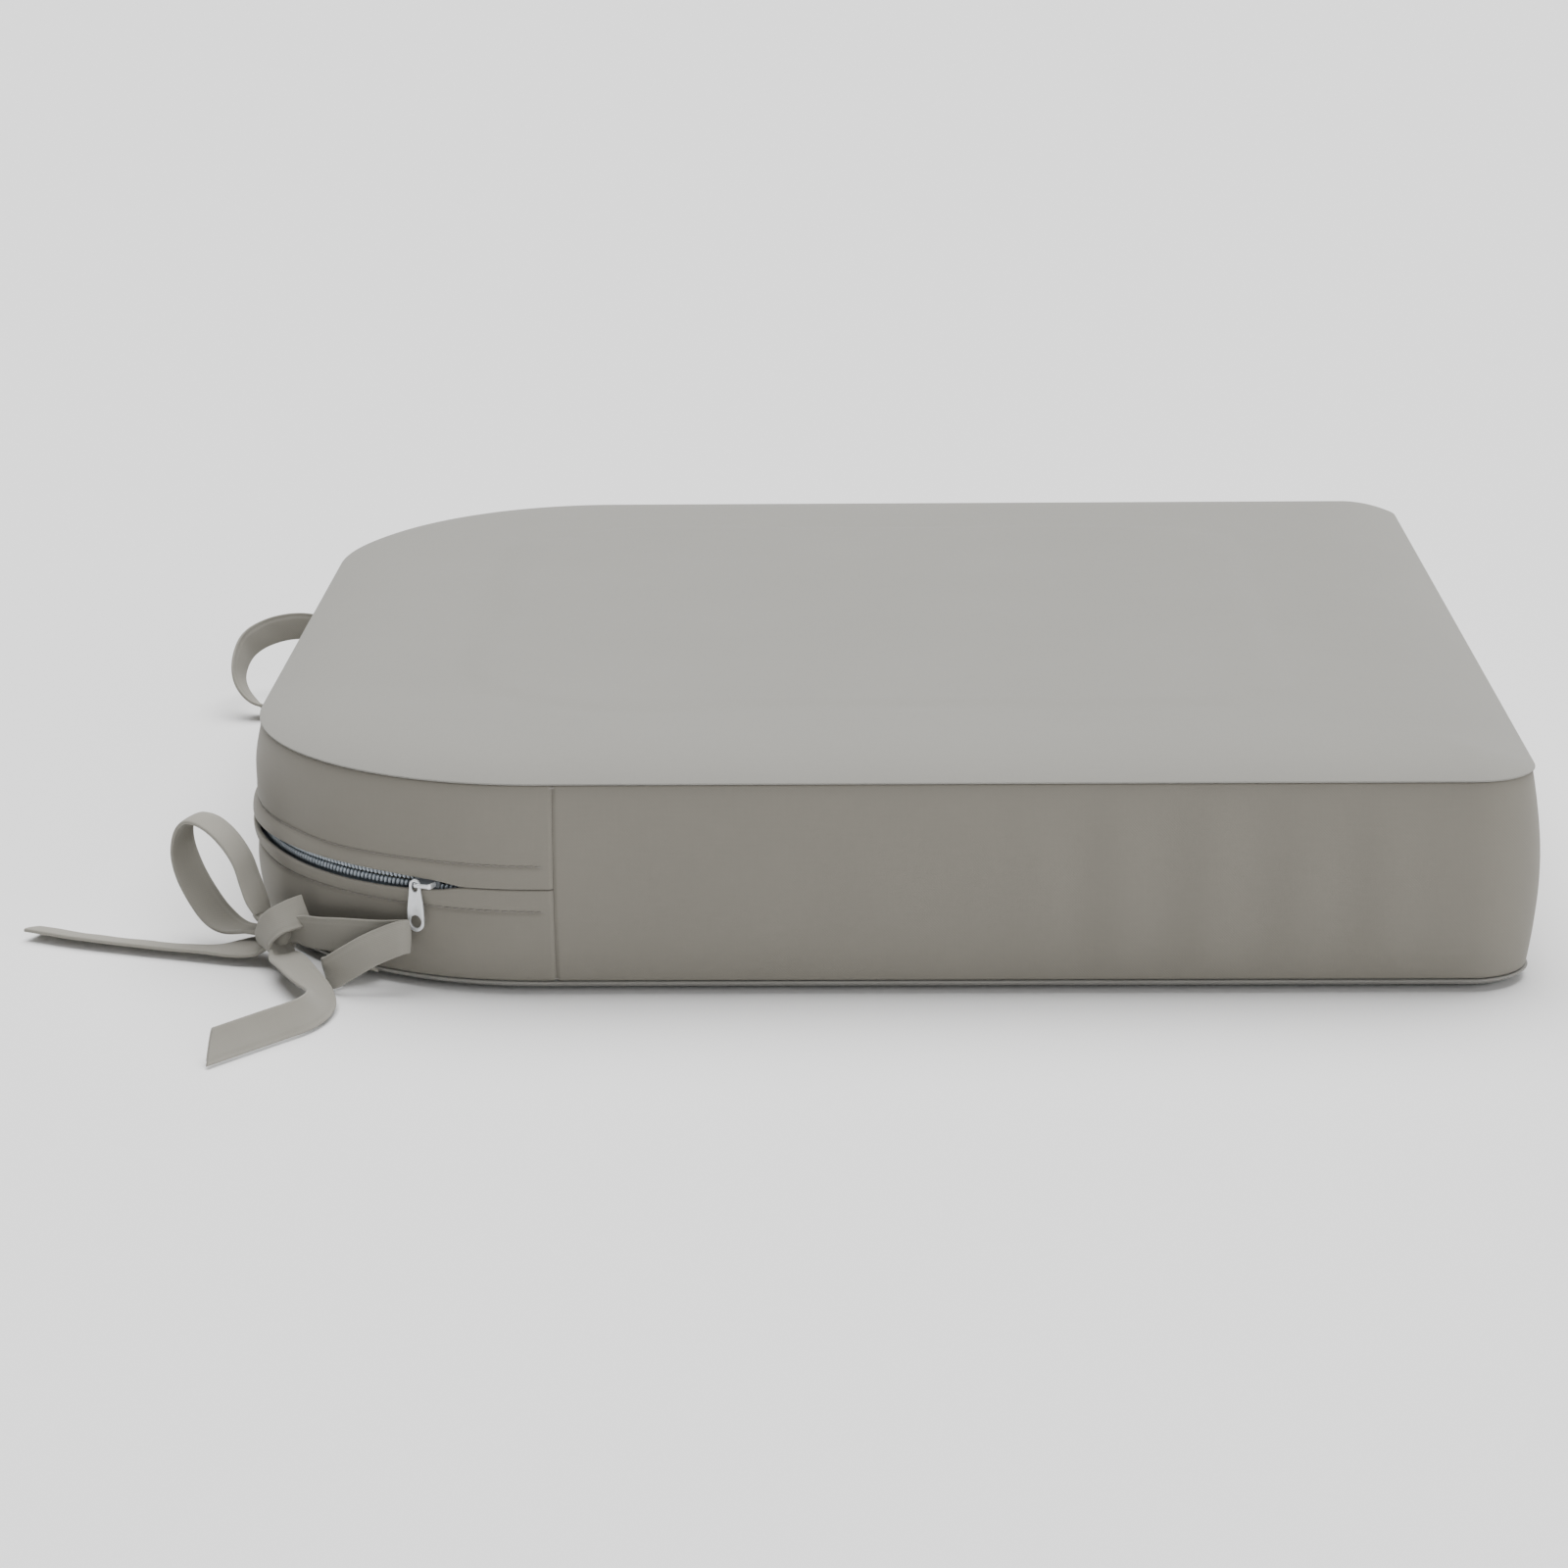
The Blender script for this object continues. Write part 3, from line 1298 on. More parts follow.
@dataclass
class Slider:
    """Zip slider, its bridge and its pull, at the near end of the zip."""

    shape: PadShape
    wardrobe: Wardrobe
    angle: float = 20.5
    length: float = 0.0110
    width: float = 0.0080
    nose: float = 0.6
    plate_thick: float = 0.0009
    outer_depth: float = 0.00225
    inner_depth: float = 0.00635
    bridge_length: float = 0.0078
    bridge_wide: float = 0.0016
    bridge_bar: float = 0.0009
    bridge_top: float = 0.0030
    pull_length: float = 0.0208
    pull_top: float = 0.0021
    pull_neck: float = 0.0023
    pull_foot: float = 0.00340
    pull_low: float = 0.0007
    pull_thick: float = 0.0011
    pull_bevel: float = 0.00020
    eye_half: tuple[float, float] = (0.0013, 0.0020)
    eye_play: float = 0.0003
    hole_half: tuple[float, float] = (0.00235, 0.0026)
    hole_rise: float = 0.0005
    post_half: tuple[float, float] = (0.0010, 0.00022)
    post_place: float = 0.0022
    overlap: float = 0.0001

    def place(self, local: Array) -> Array:
        """Points in the pad's frame from (along the zip to the back, outwards, up) at the slider."""
        turn = math.radians(self.angle)
        out = np.array([-math.sin(turn), -math.cos(turn), 0.0])
        along = np.array([-math.cos(turn), math.sin(turn), 0.0])
        side = self.shape.half - self.shape.back_radius
        centre = np.array([-side, -side, self.shape.zip_z])
        face = self.shape.back_radius + self.shape.swell
        origin = centre + face * out
        up = np.array([0.0, 0.0, 1.0])
        return origin + local[..., :1] * along + local[..., 1:2] * out + local[..., 2:] * up

    def plate(self, low: float, high: float) -> Patch:
        """A slider plate: its tapered outline, drawn in at both faces to round the edge.

        Args:
            low: outward place of its inner face.
            high: outward place of its outer face.

        Returns:
            The closed plate. Its outline is a superellipse whose width narrows towards the nose.
        """
        turn = np.radians(np.arange(48) * 7.5)
        a = np.sign(np.cos(turn)) * np.abs(np.cos(turn)) ** 0.45
        u = np.sign(np.sin(turn)) * np.abs(np.sin(turn)) ** 0.45
        narrow = 1 - (1 - self.nose) * smooth_step(0.4, -1.0, a)
        outline = np.stack([a * self.length / 2, u * narrow * self.width / 2], -1)
        middle, half = (low + high) / 2, (high - low) / 2
        tilt = np.radians([-90, -90, -90, -60, -30, 0, 30, 60, 90, 90, 90])
        inset = np.array([0.0035, 0.0012, 0.00032, 0.00028, 0.00014, 0.0])
        inset = np.concatenate([inset, inset[-2::-1]])
        share = 1 - inset[:, None, None] / np.array([self.length / 2, self.width / 2])
        flat = outline[None] * share
        out = np.broadcast_to((middle + half * np.sin(tilt))[:, None, None], flat[..., :1].shape)
        local = np.concatenate([flat[..., :1], out, flat[..., 1:]], -1)
        return Patch(self.place(local), cols_closed=True, capped=True)

    def build_body(self) -> None:
        """Two plates joined by a post at the nose."""
        front = self.plate(-self.outer_depth - self.plate_thick, -self.outer_depth)
        back = self.plate(-self.inner_depth - self.plate_thick, -self.inner_depth)
        turn = np.radians(np.arange(16) * 22.5)
        out = np.linspace(-self.inner_depth - self.overlap,
                          -self.outer_depth - self.plate_thick + self.overlap, 4)
        a = -self.length / 2 + self.post_place + self.post_half[0] * np.cos(turn)
        u = self.post_half[1] * np.sin(turn)
        ring = np.stack(np.broadcast_arrays(a[None], out[:, None], u[None]), -1)
        post = Patch(self.place(ring), cols_closed=True, capped=True)
        body = make_piece("slider_shell", [front, back, post], 50.0)
        self.wardrobe.dress(body, Finish.SLIDER, "slider", ["zip_slider_body"])

    def build_bridge(self) -> None:
        """Arch over the slider: a rounded bar carried along a superellipse, flared at its nose end."""
        turn = np.radians(np.linspace(180, 0, 41))
        leg = self.bridge_length / 2 - self.bridge_bar / 2
        top = self.bridge_top - self.bridge_bar / 2
        a = leg * np.sign(np.cos(turn)) * np.abs(np.cos(turn)) ** 0.30
        o = top * np.abs(np.sin(turn)) ** 0.30
        foot = np.linspace(-0.00195, -0.0002, 5)
        path_a = np.concatenate([np.full(5, -leg), a, np.full(5, leg)])
        path_o = np.concatenate([foot, o, foot[::-1]])
        path = np.stack([path_a, path_o], -1)
        along = np.gradient(path, axis=0)
        along /= np.linalg.norm(along, axis=1)[:, None]
        normal = np.stack([-along[:, 1], along[:, 0]], -1)
        around = np.radians(np.arange(16) * 22.5)
        across = np.sign(np.cos(around)) * np.abs(np.cos(around)) ** 0.6
        depth = np.sign(np.sin(around)) * np.abs(np.sin(around)) ** 0.6
        flare = 1 + 0.30 * smooth_step(-leg * 0.55, -leg, path_a)
        wide = (self.bridge_wide / 2 * flare)[:, None] * across
        thick = (self.bridge_bar / 2) * depth[None, :]
        local = np.stack([path[:, :1] + normal[:, :1] * thick, path[:, 1:] + normal[:, 1:] * thick, wide],
                         -1)
        bar = Patch(self.place(local), cols_closed=True, capped=True)
        bridge = make_piece("slider_bridge", [bar], 70.0)
        self.wardrobe.dress(bridge, Finish.PULL, "slider", ["zip_slider_bridge"])

    def pull_outline(self) -> Array:
        """Outline of the pull in (along, up): a round head, a widening waist and a round foot."""
        head = np.radians(np.linspace(180, 0, 25))
        foot = np.radians(np.linspace(0, -180, 33))
        head_up = self.pull_top - self.pull_neck
        foot_up = self.pull_top - self.pull_length + self.pull_foot
        top = np.stack([self.pull_neck * np.cos(head), head_up + self.pull_neck * np.sin(head)], -1)
        low = np.stack([self.pull_foot * np.cos(foot), foot_up + self.pull_foot * np.sin(foot)], -1)
        share = np.linspace(0, 1, 14)[1:-1]
        wide = self.pull_neck + (self.pull_foot - self.pull_neck) * smooth_step(0.0, 0.75, share)
        up = head_up + (foot_up - head_up) * share
        right = np.stack([wide, up], -1)
        left = np.stack([-wide, up], -1)[::-1]
        return np.concatenate([top, right, low, left])

    def slab(self, name: str, outline: Array, low: float, high: float) -> bpy.types.Object:
        """An outline in (along, up) from the bridge's back leg, thickened between two places."""
        leg = self.bridge_length / 2 - self.bridge_bar / 2
        out = np.array([low, high])[:, None]
        a, o, u = np.broadcast_arrays(outline[None, :, 0] + leg, out, outline[None, :, 1])
        sides = Patch(self.place(np.stack([a, o, u], -1)), cols_closed=True, capped=True)
        return make_piece(name, [sides])

    def build_pull(self) -> None:
        """Pull tab with a long upper hole and a round lower one, its edges bevelled."""
        low, high = self.pull_low, self.pull_low + self.pull_thick
        tab = self.slab("zip_pull", self.pull_outline(), low, high)
        turn = np.radians(np.arange(36) * 10.0)
        eye_wide, eye_tall = self.eye_half
        eye_up = self.bridge_wide / 2 + self.eye_play - eye_tall
        rise = eye_tall * np.sign(np.sin(turn)) * np.abs(np.sin(turn)) ** 0.8
        eye = np.stack([eye_wide * np.cos(turn), eye_up + rise], -1)
        hole_wide, hole_tall = self.hole_half
        foot_up = self.pull_top - self.pull_length + self.pull_foot + self.hole_rise
        hole = np.stack([hole_wide * np.cos(turn), foot_up + hole_tall * np.sin(turn)], -1)
        cutters = []
        for number, outline in enumerate((eye, hole)):
            cutter = self.slab(f"pull_cutter_{number}", outline, low - 0.001, high + 0.001)
            cut = tab.modifiers.new(cutter.name, "BOOLEAN")
            cut.operation = "DIFFERENCE"
            cut.solver = "EXACT"
            cut.object = cutter
            cutters.append(cutter)
        bevel = tab.modifiers.new("edges", "BEVEL")
        bevel.width = self.pull_bevel
        bevel.segments = 3
        bevel.limit_method = "ANGLE"
        bevel.angle_limit = math.radians(50)
        apply_modifiers(tab)
        tab.data.shade_smooth()
        tab.data.set_sharp_from_angle(angle=math.radians(55))
        for cutter in cutters:
            bpy.data.objects.remove(cutter)
        self.wardrobe.dress(tab, Finish.PULL, "pull", ["zip_pull_tab"])

    def build(self) -> None:
        """Slider, bridge and pull."""
        self.build_body()
        self.build_bridge()
        self.build_pull()


# ---------------------------------------------------------------- ties


class End(Enum):
    """What a run of strap ends in."""

    BARE = "bare"
    KNOT = "knot"


@dataclass(frozen=True)
class Run:
    """A run of the strap: route points in millimetres, each with the direction of its width."""

    name: str
    route: tuple[tuple[Colour, Colour], ...]
    end: End
    from_pad: bool = False
    knot_at_end: bool = False
    slant: float = 0.0


def across_pad(run: Run, name: str) -> Run:
    """The same run on the pad's other side, under another name: each y changes its sign."""
    route = tuple(((x, -y, z), (a, -b, c)) for (x, y, z), (a, b, c) in run.route)
    return replace(run, name=name, route=route)


NEAR_RUNS = (
    Run("near_tie_loop_left", (
        ((-242.2, -205.8, 18.5), (0.35, 0.93, 0.0)), ((-245.0, -203.8, 24.5), (0.40, 0.90, 0.20)),
        ((-247.5, -201.5, 31.0), (0.40, 0.90, 0.20)), ((-251.0, -198.5, 39.5), (0.40, 0.90, 0.10)),
        ((-257.5, -193.5, 47.0), (0.40, 0.90, 0.10)), ((-265.0, -187.5, 51.0), (0.30, 0.93, 0.10)),
        ((-272.0, -182.5, 51.0), (0.30, 0.95, 0.0)), ((-276.5, -178.5, 46.0), (0.40, 0.90, 0.0)),
        ((-277.5, -177.0, 38.0), (0.60, 0.80, 0.10)), ((-275.0, -179.5, 29.0), (0.75, 0.60, 0.20)),
        ((-270.0, -183.5, 20.5), (0.85, 0.45, 0.25)), ((-263.5, -188.0, 13.0), (0.90, 0.40, 0.20)),
        ((-255.5, -194.0, 9.5), (0.80, 0.60, 0.10)), ((-245.5, -203.2, 11.5), (0.75, 0.65, 0.0)),
    ), End.KNOT, knot_at_end=True),
    Run("near_tie_loop_right", (
        ((-227.4, -221.6, 17.2), (0.0, 0.0, 1.0)), ((-217.0, -230.5, 18.5), (0.0, 0.0, 1.0)),
        ((-207.0, -238.0, 20.5), (0.0, 0.0, 1.0)), ((-192.0, -244.0, 21.5), (0.0, 0.0, 1.0)),
        ((-183.5, -247.0, 22.5), (0.0, 0.0, 1.0)), ((-180.3, -249.3, 23.0), (0.0, 0.2, 0.98)),
        ((-184.0, -251.8, 23.0), (-0.15, 0.25, 0.95)), ((-194.5, -251.5, 18.5), (-0.30, 0.20, 0.93)),
        ((-204.0, -250.5, 12.8), (-0.35, 0.20, 0.90)), ((-210.0, -248.5, 8.8), (-0.35, 0.20, 0.90)),
        ((-212.0, -246.0, 7.4), (-0.25, 0.0, 0.97)), ((-209.8, -243.4, 7.0), (-0.15, 0.10, 0.98)),
        ((-206.3, -240.4, 7.4), (0.25, 0.05, 0.95)), ((-204.2, -235.4, 5.8), (0.75, -0.40, 0.45)),
        ((-199.5, -228.6, 3.4), (0.82, -0.57, 0.0)),
    ), End.KNOT, from_pad=True),
    Run("near_tie_tail_left", (
        ((-243.9, -211.3, 7.0), (0.22, 0.85, 0.45)), ((-254.0, -208.0, 5.0), (0.28, 0.94, 0.18)),
        ((-263.0, -205.0, 3.8), (0.27, 0.96, -0.08)), ((-275.0, -201.0, 3.0), (0.30, 0.94, -0.16)),
        ((-290.0, -196.0, 2.8), (0.32, 0.93, -0.18)), ((-315.0, -187.0, 2.8), (0.34, 0.92, -0.20)),
        ((-329.5, -180.5, 2.9), (0.38, 0.91, -0.20)), ((-339.5, -175.5, 2.9), (0.40, 0.90, -0.20)),
    ), End.BARE),
    Run("near_tie_tail_right", (
        ((-232.2, -226.2, 8.2), (0.85, 0.45, 0.10)), ((-227.0, -240.5, 10.3), (0.90, 0.38, 0.10)),
        ((-221.0, -252.0, 9.2), (0.90, 0.40, 0.0)), ((-215.0, -260.5, 6.8), (0.85, 0.42, -0.20)),
        ((-212.0, -268.0, 5.6), (0.85, 0.10, -0.50)), ((-211.5, -277.0, 5.9), (0.72, -0.12, -0.68)),
        ((-212.8, -286.0, 6.4), (0.52, -0.22, -0.80)), ((-216.5, -294.5, 6.6), (0.40, -0.28, -0.87)),
        ((-224.5, -304.3, 6.6), (0.37, -0.30, -0.88)), ((-232.5, -314.0, 6.6), (0.37, -0.30, -0.88)),
        ((-245.0, -329.3, 6.6), (0.37, -0.30, -0.88)),
    ), End.BARE, slant=0.0045),
)
FAR_RUNS = (
    Run("far_tie_loop_left", (
        ((-243.2, 208.3, 18.0), (0.0, 0.40, 0.92)), ((-256.0, 217.0, 24.0), (0.0, 0.35, 0.94)),
        ((-270.0, 222.0, 29.0), (0.0, 0.35, 0.94)), ((-284.0, 220.0, 32.0), (-0.10, 0.32, 0.94)),
        ((-297.0, 211.0, 31.5), (-0.25, 0.20, 0.95)), ((-306.0, 197.0, 28.0), (-0.35, -0.10, 0.93)),
        ((-308.5, 181.0, 20.0), (-0.38, -0.50, 0.78)), ((-304.5, 170.5, 11.5), (-0.50, -0.65, 0.57)),
        ((-295.5, 167.0, 5.2), (-0.35, -0.85, 0.40)), ((-281.0, 175.5, 3.6), (0.25, -0.90, 0.35)),
        ((-264.5, 189.5, 5.5), (0.50, -0.80, 0.32)), ((-245.5, 205.5, 9.5), (0.58, -0.78, 0.25)),
    ), End.KNOT, knot_at_end=True),
    across_pad(NEAR_RUNS[1], "far_tie_loop_right"),
    Run("far_tie_tail_left", (
        ((-239.0, 221.5, 6.8), (0.85, 0.25, -0.40)), ((-241.5, 233.0, 4.4), (0.96, 0.15, -0.20)),
        ((-241.0, 250.0, 2.8), (0.99, -0.03, -0.10)), ((-237.0, 270.0, 2.4), (0.97, -0.20, -0.08)),
        ((-232.0, 292.0, 2.3), (0.97, -0.22, -0.08)), ((-228.0, 315.0, 2.3), (0.98, -0.15, -0.08)),
        ((-226.0, 338.0, 2.3), (0.99, -0.05, -0.08)),
    ), End.BARE, slant=0.003),
    Run("far_tie_tail_right", (
        ((-232.2, 226.2, 8.2), (0.85, -0.45, 0.10)), ((-227.0, 240.5, 9.6), (0.90, -0.38, 0.10)),
        ((-222.5, 252.5, 7.6), (0.92, -0.35, 0.0)), ((-216.0, 263.5, 4.6), (0.88, -0.45, -0.05)),
        ((-206.0, 273.5, 2.6), (0.76, -0.65, 0.0)), ((-194.0, 284.0, 2.1), (0.60, -0.78, 0.05)),
        ((-178.0, 293.0, 2.1), (0.45, -0.88, 0.05)), ((-160.0, 300.0, 2.1), (0.35, -0.92, 0.05)),
    ), End.BARE, slant=0.003),
)


@dataclass
class Strap:
    """Folded cloth strap, 13 mm wide, stitched along one edge."""

    wardrobe: Wardrobe
    wide: float = 0.0130
    thick: float = 0.0018
    steps: int = 11
    groove_place: float = 0.78
    gather_length: float = 0.014
    gather: float = 0.30
    ripple: float = 0.00016
    ripple_length: float = 0.021
    pleat: float = 0.00075
    cup: float = 0.0005

    def line(self, route: Array, steps: int) -> Array:
        """Catmull-Rom curve through rows of numbers, with a number of steps between each two."""
        ends = np.vstack([2 * route[0] - route[1], route, 2 * route[-1] - route[-2]])
        t = (np.arange(steps) / steps)[None, :, None]
        a, b, c, d = (ends[k:len(ends) - 3 + k, None, :] for k in range(4))
        run = 0.5 * (2 * b + (c - a) * t + (2 * a - 5 * b + 4 * c - d) * t ** 2
                     + (3 * b - a - 3 * c + d) * t ** 3)
        return np.vstack([run.reshape(-1, route.shape[1]), route[-1:]])

    def section(self, count: int = 34) -> tuple[Array, Array]:
        """Cross-section of the strap.

        Returns:
            Places across the width from -1 to 1 and across the thickness, in order round it: a flat
            superellipse with a stitched groove near one edge and a slightly fuller folded edge.
        """
        turn = np.linspace(0, 2 * math.pi, count, endpoint=False)
        across = np.sign(np.cos(turn)) * np.abs(np.cos(turn)) ** 0.55
        through = np.sign(np.sin(turn)) * np.abs(np.sin(turn)) ** 0.42
        groove = 1 - 0.42 * hump(across, self.groove_place, 0.07)
        full = 1 - 0.16 * (1 - across ** 2) + 0.10 * hump(across, -0.92, 0.12)
        return across, through * groove * full

    def sweep(self, middle: Array, width: Array, start_gather: bool, end_gather: bool,
              slant: float = 0.0) -> tuple[Patch, Array]:
        """Carry the section along a line.

        Args:
            middle: the line's points in metres.
            width: the direction of the strap's width at each.
            start_gather: whether the strap is gathered into a knot at its start.
            end_gather: the same at its end.
            slant: how far the end is cut on the slant.

        Returns:
            The strap's surface and its line.
        """
        along = np.gradient(middle, axis=0)
        along /= np.linalg.norm(along, axis=1)[:, None]
        kernel = np.hanning(11) / np.hanning(11).sum()
        pad = np.pad(width, ((5, 5), (0, 0)), mode="edge")
        width = np.stack([np.convolve(pad[:, k], kernel, mode="valid") for k in range(3)], 1)
        width = width - along * (width * along).sum(1)[:, None]
        width /= np.linalg.norm(width, axis=1)[:, None]
        normal = np.cross(along, width)
        run = np.concatenate([[0.0], np.cumsum(np.linalg.norm(np.diff(middle, axis=0), axis=1))])
        left = run[-1] - run
        pinch = np.zeros_like(run)
        if start_gather:
            pinch = pinch + 1 - smooth_step(0.0, self.gather_length, run)
        if end_gather:
            pinch = pinch + 1 - smooth_step(0.0, self.gather_length, left)
        across, through = self.section()
        half = self.wide / 2 * (1 - self.gather * pinch)
        body = self.thick / 2 * (1 + 0.25 * pinch)
        wave = self.ripple * np.sin(2 * math.pi * run / self.ripple_length)
        ripple = wave[:, None] * (1 - across[None] ** 2)
        pleats = self.pleat * pinch[:, None] * np.cos(2.6 * math.pi * across)[None]
        cup = -self.cup * (1 - across[None] ** 2) * (1 - pinch[:, None])
        w = half[:, None] * across[None]
        n = body[:, None] * through[None] + ripple + pleats + cup
        cut = slant * across[None] * smooth_step(0.012, 0.0, left)[:, None]
        points = (middle[:, None] + width[:, None] * w[..., None] + normal[:, None] * n[..., None]
                  + along[:, None] * cut[..., None])
        points[..., 2] = np.maximum(points[..., 2], 0.0002)
        girth = np.concatenate([across, across[:1]]) * self.wide / 2
        uv = np.stack(np.broadcast_arrays(run[:, None], girth[None, :]), -1)
        return Patch(points, uv=uv, cols_closed=True, capped=True), middle

    def build_run(self, run: Run, knot: bpy.types.Object, heart: Array) -> None:
        """One run of the strap, declared as a free cord of its own length.

        Args:
            run: the run.
            knot: the knot's piece.
            heart: the knot's middle, towards which the run goes on into the knot.
        """
        route = np.array([point for point, _ in run.route]) / 1000
        width = np.array([turn for _, turn in run.route])
        middle, turned = self.line(route, self.steps), self.line(width, self.steps)
        inside = np.linspace(0.55, 0.0, 6)[:-1, None]
        middle = np.vstack([middle[:1] + (heart - middle[:1]) * inside, middle])
        turned = np.vstack([np.repeat(turned[:1], 5, 0), turned])
        if run.knot_at_end:
            middle = np.vstack([middle, middle[-1:] + (heart - middle[-1:]) * inside[::-1]])
            turned = np.vstack([turned, np.repeat(turned[-1:], 5, 0)])
        patch, line = self.sweep(middle, turned, True, run.knot_at_end, run.slant)
        piece = make_piece(run.name + "_strap", [patch], 70.0)
        self.wardrobe.dress(piece, Finish.TIES, "pad", [run.name])
        if run.from_pad:
            line = line[::-1]


@dataclass
class Bow:
    """A bow at one back corner: its knot, two loops and two tails."""

    name: str
    heart: tuple[float, float, float]
    mirror: float
    runs: tuple[Run, ...]
    wardrobe: Wardrobe
    strap: Strap
    core_half: tuple[float, float, float] = (0.0078, 0.0056, 0.0068)

    def frame(self) -> Array:
        """Rows: along the corner to the pad's front, outwards, and up."""
        turn = math.radians(40.0)
        along = np.array([math.cos(turn), -math.sin(turn) * self.mirror, 0.0])
        out = np.array([-math.sin(turn), -math.cos(turn) * self.mirror, 0.0])
        return np.stack([along, out, np.array([0.0, 0.0, 1.0])])

    def core(self) -> Patch:
        """Puffed middle of the knot: a superellipsoid, its section to the power 0.8.

        Its rows run down on the near side and up on the far side, so that its faces point outwards
        like those of the wrap.
        """
        lat = np.radians(np.linspace(-88, 88, 17) * -self.mirror)[:, None]
        lon = np.radians(np.arange(36) * 10.0)[None, :]
        ball = np.broadcast_arrays(np.cos(lat) * np.cos(lon), np.cos(lat) * np.sin(lon), np.sin(lat))
        ball = np.stack(ball, -1)
        ball = np.sign(ball) * np.abs(ball) ** 0.8
        folds = 1 + 0.05 * np.sin(3 * lon + 4 * lat)[..., None]
        local = ball * np.array(self.core_half) * folds
        return Patch(np.array(self.heart) + local @ self.frame(), cols_closed=True, capped=True)

    def wrap(self) -> Patch:
        """Strap that comes over the knot from its upper end, down the front and back underneath."""
        local = np.array([(12.3, -4.0, 11.5), (10.0, 1.5, 10.5), (6.1, 5.8, 8.2), (2.2, 7.3, 4.8),
                          (-0.4, 7.4, 1.2), (-1.5, 6.7, -2.6), (-0.6, 5.0, -6.0), (2.2, 2.0, -8.0),
                          (4.0, -2.0, -8.4)]) / 1000
        turn = np.array([(0.59, 0.0, -0.81), (0.72, 0.10, -0.68), (0.83, 0.19, -0.52), (0.82, 0.25, -0.52),
                         (0.80, 0.28, -0.55), (0.88, 0.15, -0.45), (0.93, 0.08, -0.30), (0.95, 0.0, -0.15),
                         (0.97, 0.0, 0.0)])
        rows = self.frame()
        middle = self.strap.line(np.array(self.heart) + local @ rows, 9)
        width = self.strap.line(turn @ rows, 9)
        patch, _ = self.strap.sweep(middle, width, False, False)
        return patch

    def build(self) -> None:
        """Knot first, then the runs that go into it."""
        knot = make_piece(self.name + "_knot_wrap", [self.core(), self.wrap()], 70.0)
        self.wardrobe.dress(knot, Finish.TIES, "pad", [self.name + "_knot"])
        for run in self.runs:
            self.strap.build_run(run, knot, np.array(self.heart))


# ---------------------------------------------------------------- filling


@dataclass
class Filling:
    """Foam block and wadding inside the cover and the threads in its seams, kept from the frame."""

    wardrobe: Wardrobe

    def build(self) -> None:
        """Dress the kept nodes."""
        self.wardrobe.redress("foam_core", Finish.FOAM)
        self.wardrobe.redress("wadding_top", Finish.WADDING)
        self.wardrobe.redress("wadding_bottom", Finish.WADDING)
        self.wardrobe.redress("seam_thread_top", Finish.THREAD)
        self.wardrobe.redress("seam_thread_bottom", Finish.THREAD)


# ---------------------------------------------------------------- studio


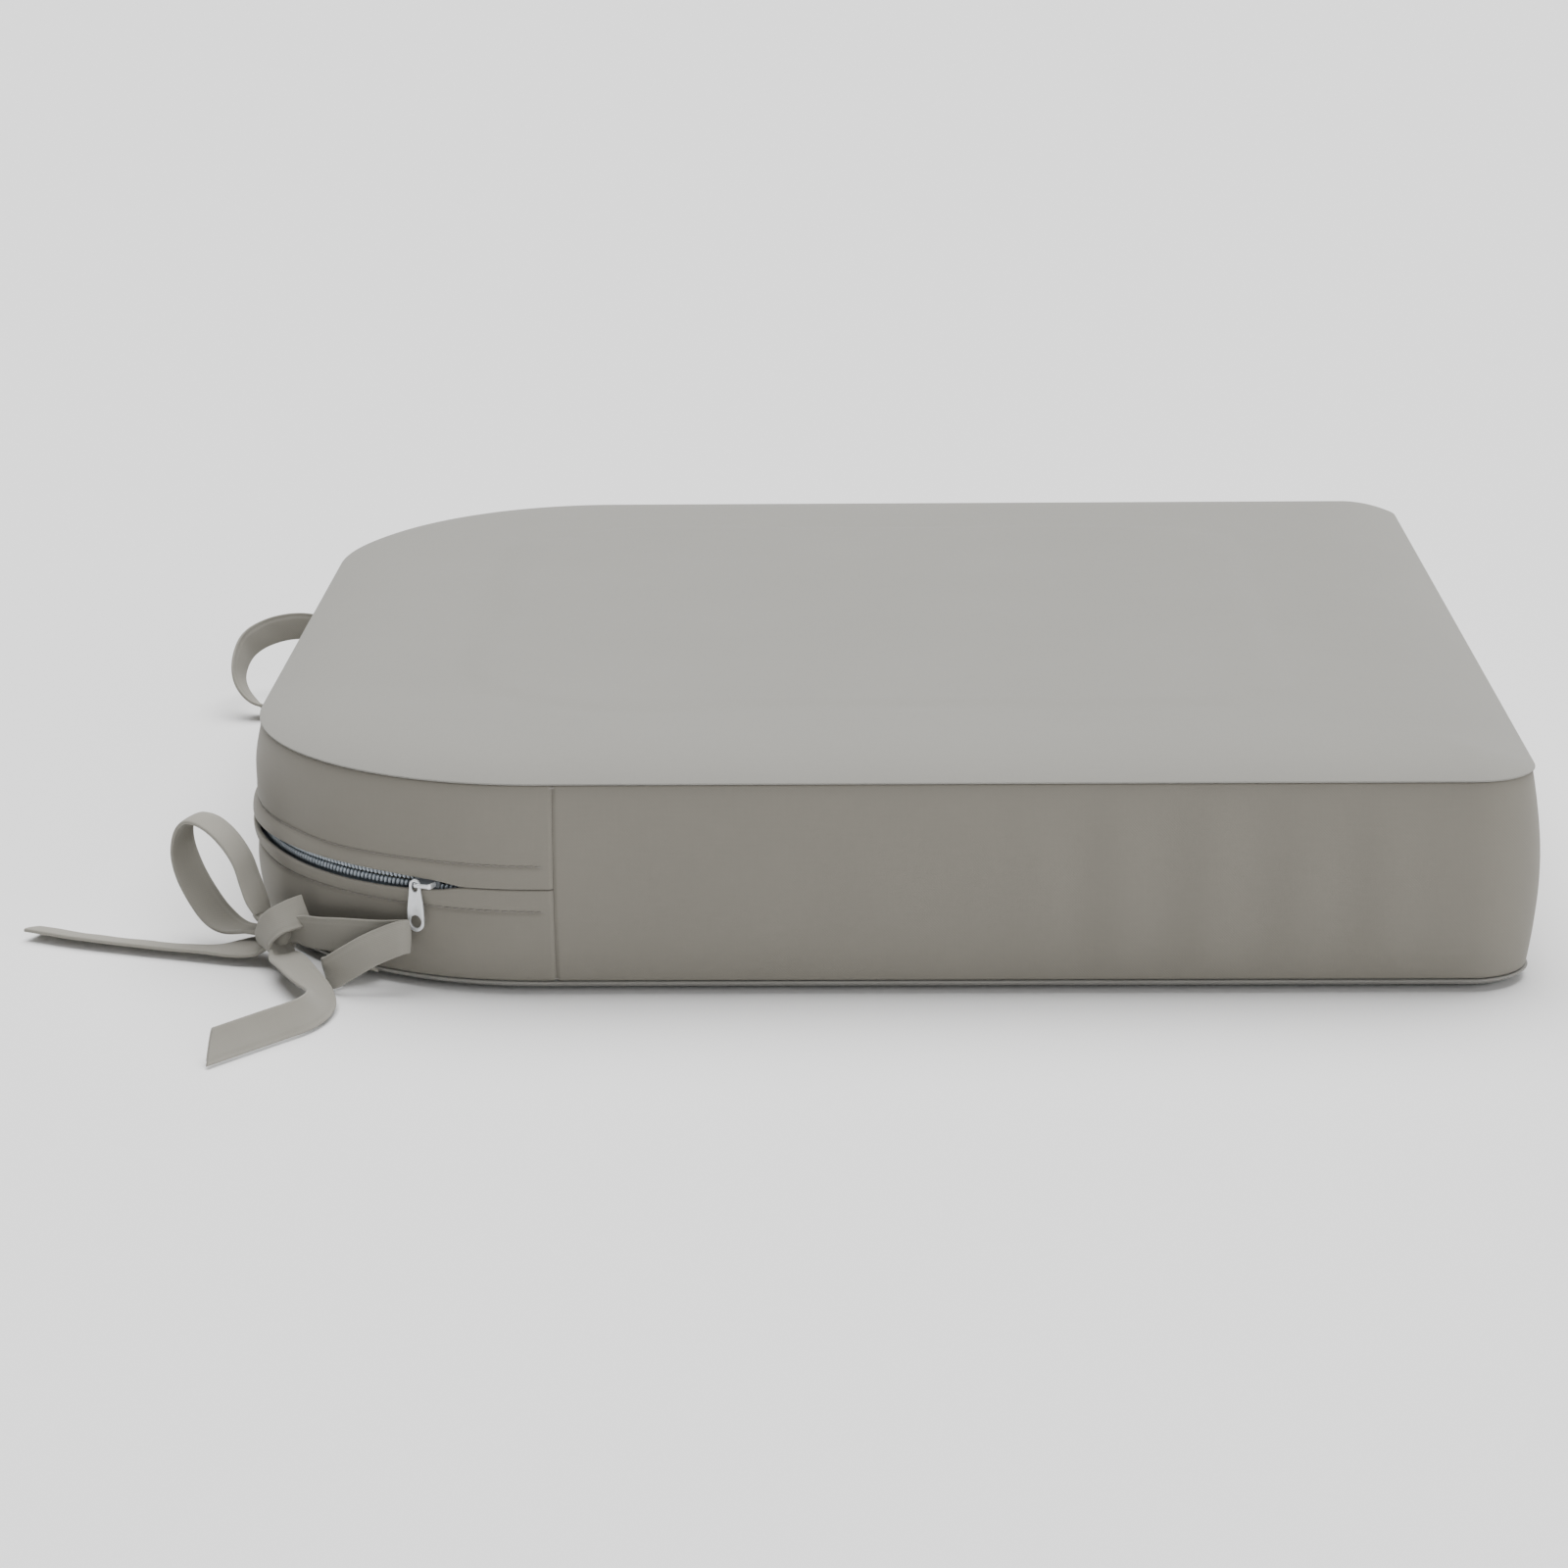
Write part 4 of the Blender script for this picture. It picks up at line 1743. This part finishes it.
@dataclass
class Studio:
    """Pale floor, soft light and the camera."""

    camera_place: tuple[float, float, float] = (0.0012, -1.7771, 0.5144)
    pitch: float = 15.758
    yaw: float = -1.389
    roll: float = -0.579
    lens: float = 96.49
    floor_half: float = 14.0
    sky: float = 0.14
    power: float = 6.2
    softness: float = 70.0
    lean: float = 20.0
    slope: float = 2.0
    front_power: float = 2.1
    front_softness: float = 60.0
    front_height: float = 12.0
    front_turn: float = 38.0

    def build_camera(self) -> None:
        """Camera whose axes are worked out from its yaw, its pitch below the horizon and its roll."""
        yaw, pitch, roll = (math.radians(x) for x in (self.yaw, self.pitch, self.roll))
        level = np.array([math.cos(yaw), -math.sin(yaw), 0.0])
        ahead = np.array([math.sin(yaw) * math.cos(pitch), math.cos(yaw) * math.cos(pitch), -math.sin(pitch)])
        lean = math.sin(pitch)
        upright = np.array([math.sin(yaw) * lean, math.cos(yaw) * lean, math.cos(pitch)])
        right = math.cos(roll) * level + math.sin(roll) * upright
        up = math.cos(roll) * upright - math.sin(roll) * level
        lens = bpy.data.cameras.new("camera")
        lens.lens = self.lens
        lens.sensor_width = 36.0
        camera = bpy.data.objects.new("camera", lens)
        bpy.context.scene.collection.objects.link(camera)
        rows = np.eye(4)
        rows[:3, 0], rows[:3, 1], rows[:3, 2], rows[:3, 3] = right, up, -ahead, self.camera_place
        camera.matrix_world = Matrix(rows.tolist())
        bpy.context.scene.camera = camera

    def build_floor(self) -> None:
        """Wide level floor, just below the resting face."""
        line = np.linspace(-self.floor_half, self.floor_half, 9)
        x, y = np.meshgrid(line, line, indexing="ij")
        top = np.stack([x, y, np.full_like(x, -0.0002)], -1)
        deep = top[::-1] - np.array([0, 0, 0.02])
        sheet = np.concatenate([top, deep], 0)
        floor = make_piece("studio_floor", [Patch(sheet, rows_closed=True)], 30.0)
        floor.data.materials.append(FloorFinish().build())

    def lamp(self, name: str, power: float, softness: float, turn: Colour) -> None:
        """Very soft distant light.

        Args:
            name: its name.
            power: its strength.
            softness: how many degrees wide it looks.
            turn: degrees by which it is turned about X, Y and Z from shining straight down.
        """
        lamp = bpy.data.lights.new(name, "SUN")
        lamp.energy = power
        lamp.angle = math.radians(softness)
        thing = bpy.data.objects.new(name, lamp)
        thing.rotation_euler = tuple(math.radians(angle) for angle in turn)
        bpy.context.scene.collection.objects.link(thing)

    def build(self) -> None:
        """Camera, floor, sky and lights."""
        self.build_camera()
        self.build_floor()
        world = bpy.data.worlds.new("studio")
        world.use_nodes = True
        sky = world.node_tree.nodes["Background"]
        sky.inputs["Color"].default_value = (1.0, 1.0, 1.0, 1.0)
        sky.inputs["Strength"].default_value = self.sky
        bpy.context.scene.world = world
        self.lamp("overhead", self.power, self.softness, (-self.lean, self.slope, 0.0))
        self.lamp("front", self.front_power, self.front_softness,
                  (90.0 - self.front_height, 0.0, self.front_turn))


# ---------------------------------------------------------------- making


def main() -> None:
    """Build the studio, then every sub-assembly of the pad in order."""
    logging.basicConfig(level=logging.INFO, format="%(message)s", stream=sys.stdout, force=True)
    wardrobe = Wardrobe()
    shape = PadShape()
    Studio().build()
    strap = Strap(wardrobe)
    Bow("near_tie", (-0.2350, -0.2145, 0.0130), 1.0, NEAR_RUNS, wardrobe, strap).build()
    Bow("far_tie", (-0.2350, 0.2145, 0.0130), -1.0, FAR_RUNS, wardrobe, strap).build()
    cloth = CoverCloth(shape)
    lift, push = cloth.fields()
    reliefs = Reliefs(shape, lift, push, cloth.grid())
    cover = Cover(shape, reliefs, cloth, wardrobe)
    cover.build()
    ZipBoxing(cover, wardrobe).build()
    ZipChain(shape, reliefs, wardrobe).build()
    Slider(shape, wardrobe).build()
    Filling(wardrobe).build()


if __name__ == "__main__":
    main()
